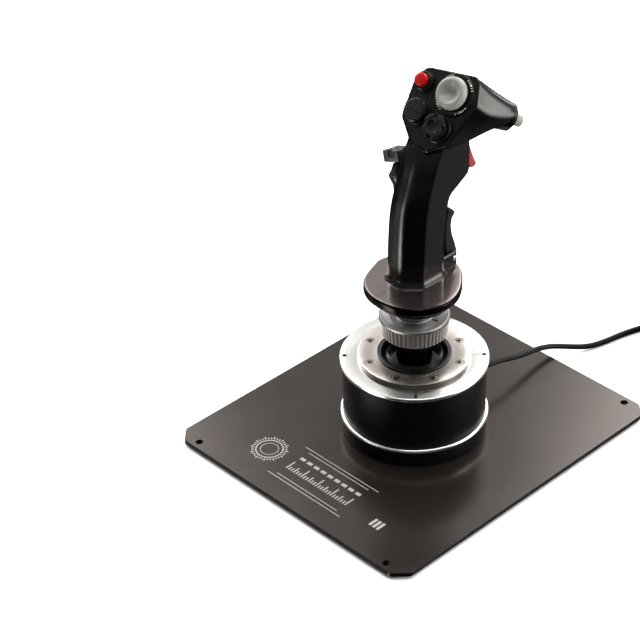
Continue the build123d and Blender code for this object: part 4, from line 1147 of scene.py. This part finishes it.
def area_light(name, place, size, power):
    """Square soft box at a place, aimed at the object."""
    data = bpy.data.lights.new(name, "AREA")
    data.shape = "RECTANGLE"
    data.size = data.size_y = size
    data.energy = power
    light = bpy.data.objects.new(name, data)
    light.location = place
    light.rotation_mode = "QUATERNION"
    light.rotation_quaternion = (LIGHT_AIM - Vector(place)).to_track_quat("-Z", "Y")
    link(light)


GLOWS = [
    # azimuth and elevation in degrees, half width in degrees, strength, colour
    (-161, -33, 10, 15.0, (1.0, 0.93, 0.88)),
    (-158, -12, 9, 9.0, (1.0, 0.95, 0.92)),
    (-44, 46, 30, 0.34, (1.0, 0.99, 0.98)),
    (0, 38, 24, 1.1, (1.0, 1.0, 0.98)),
    (-95, 38, 24, 1.5, (1.0, 1.0, 1.0)),
    (56, 5, 15, 11.0, (1.0, 1.0, 0.95)),
    (-124, -36, 16, 0.5, (1.0, 0.98, 0.96)),
    (44, -34, 24, 0.35, (1.0, 1.0, 1.0)),
]
AMBIENT_LOW, AMBIENT_HIGH = 0.03, 0.36


def vector_calc(tree, operation, inputs, output="Vector"):
    return add_node(tree, "VectorMath", inputs, operation=operation).outputs[output]


def make_world():
    """Dark studio with soft bright patches, given by direction; 0 is forward and 90 the pilot's right."""
    world = bpy.data.worlds.new("studio")
    world.use_nodes = True
    tree = world.node_tree
    tree.nodes.clear()
    toward = add_node(tree, "TexCoord").outputs["Generated"]
    height = add_node(tree, "SeparateXYZ", {"Vector": toward}).outputs["Z"]
    base = to_range(tree, height, AMBIENT_LOW, AMBIENT_HIGH, -0.06, 0.0)
    total = vector_calc(tree, "SCALE", {0: (1.0, 1.0, 1.0), "Scale": base})
    for azimuth, elevation, width, strength, colour in GLOWS:
        az, el = radians(azimuth), radians(elevation)
        middle = (sin(az) * cos(el), cos(az) * cos(el), sin(el))
        near = vector_calc(tree, "DOT_PRODUCT", {0: toward, 1: middle}, "Value")
        glow = to_range(tree, near, 0.0, strength, cos(radians(width * 1.5)), cos(radians(width * 0.5)))
        tint = vector_calc(tree, "SCALE", {0: colour, "Scale": glow})
        total = vector_calc(tree, "ADD", {0: total, 1: tint})
    background = add_node(tree, "Background", {"Color": total, "Strength": 1.0})
    add_node(tree, "OutputWorld", {"Surface": background.outputs[0]})
    bpy.context.scene.world = world


surface("floor_white", (0.93, 0.93, 0.93, 1), 0.9, spread=0.005, bump=0.0, specular=0.1)
make_floor()
make_world()
area_light("left_box", (-1.75, 0.25, 1.25), 1.5, 40)
area_light("back_box", (-0.35, 1.75, 1.15), 1.4, 38)
area_light("right_box", (1.7, 0.9, 1.1), 1.2, 16)
area_light("top_box", (0.1, 0.2, 2.2), 1.2, 26)
bpy.context.scene.view_settings.view_transform = "Standard"
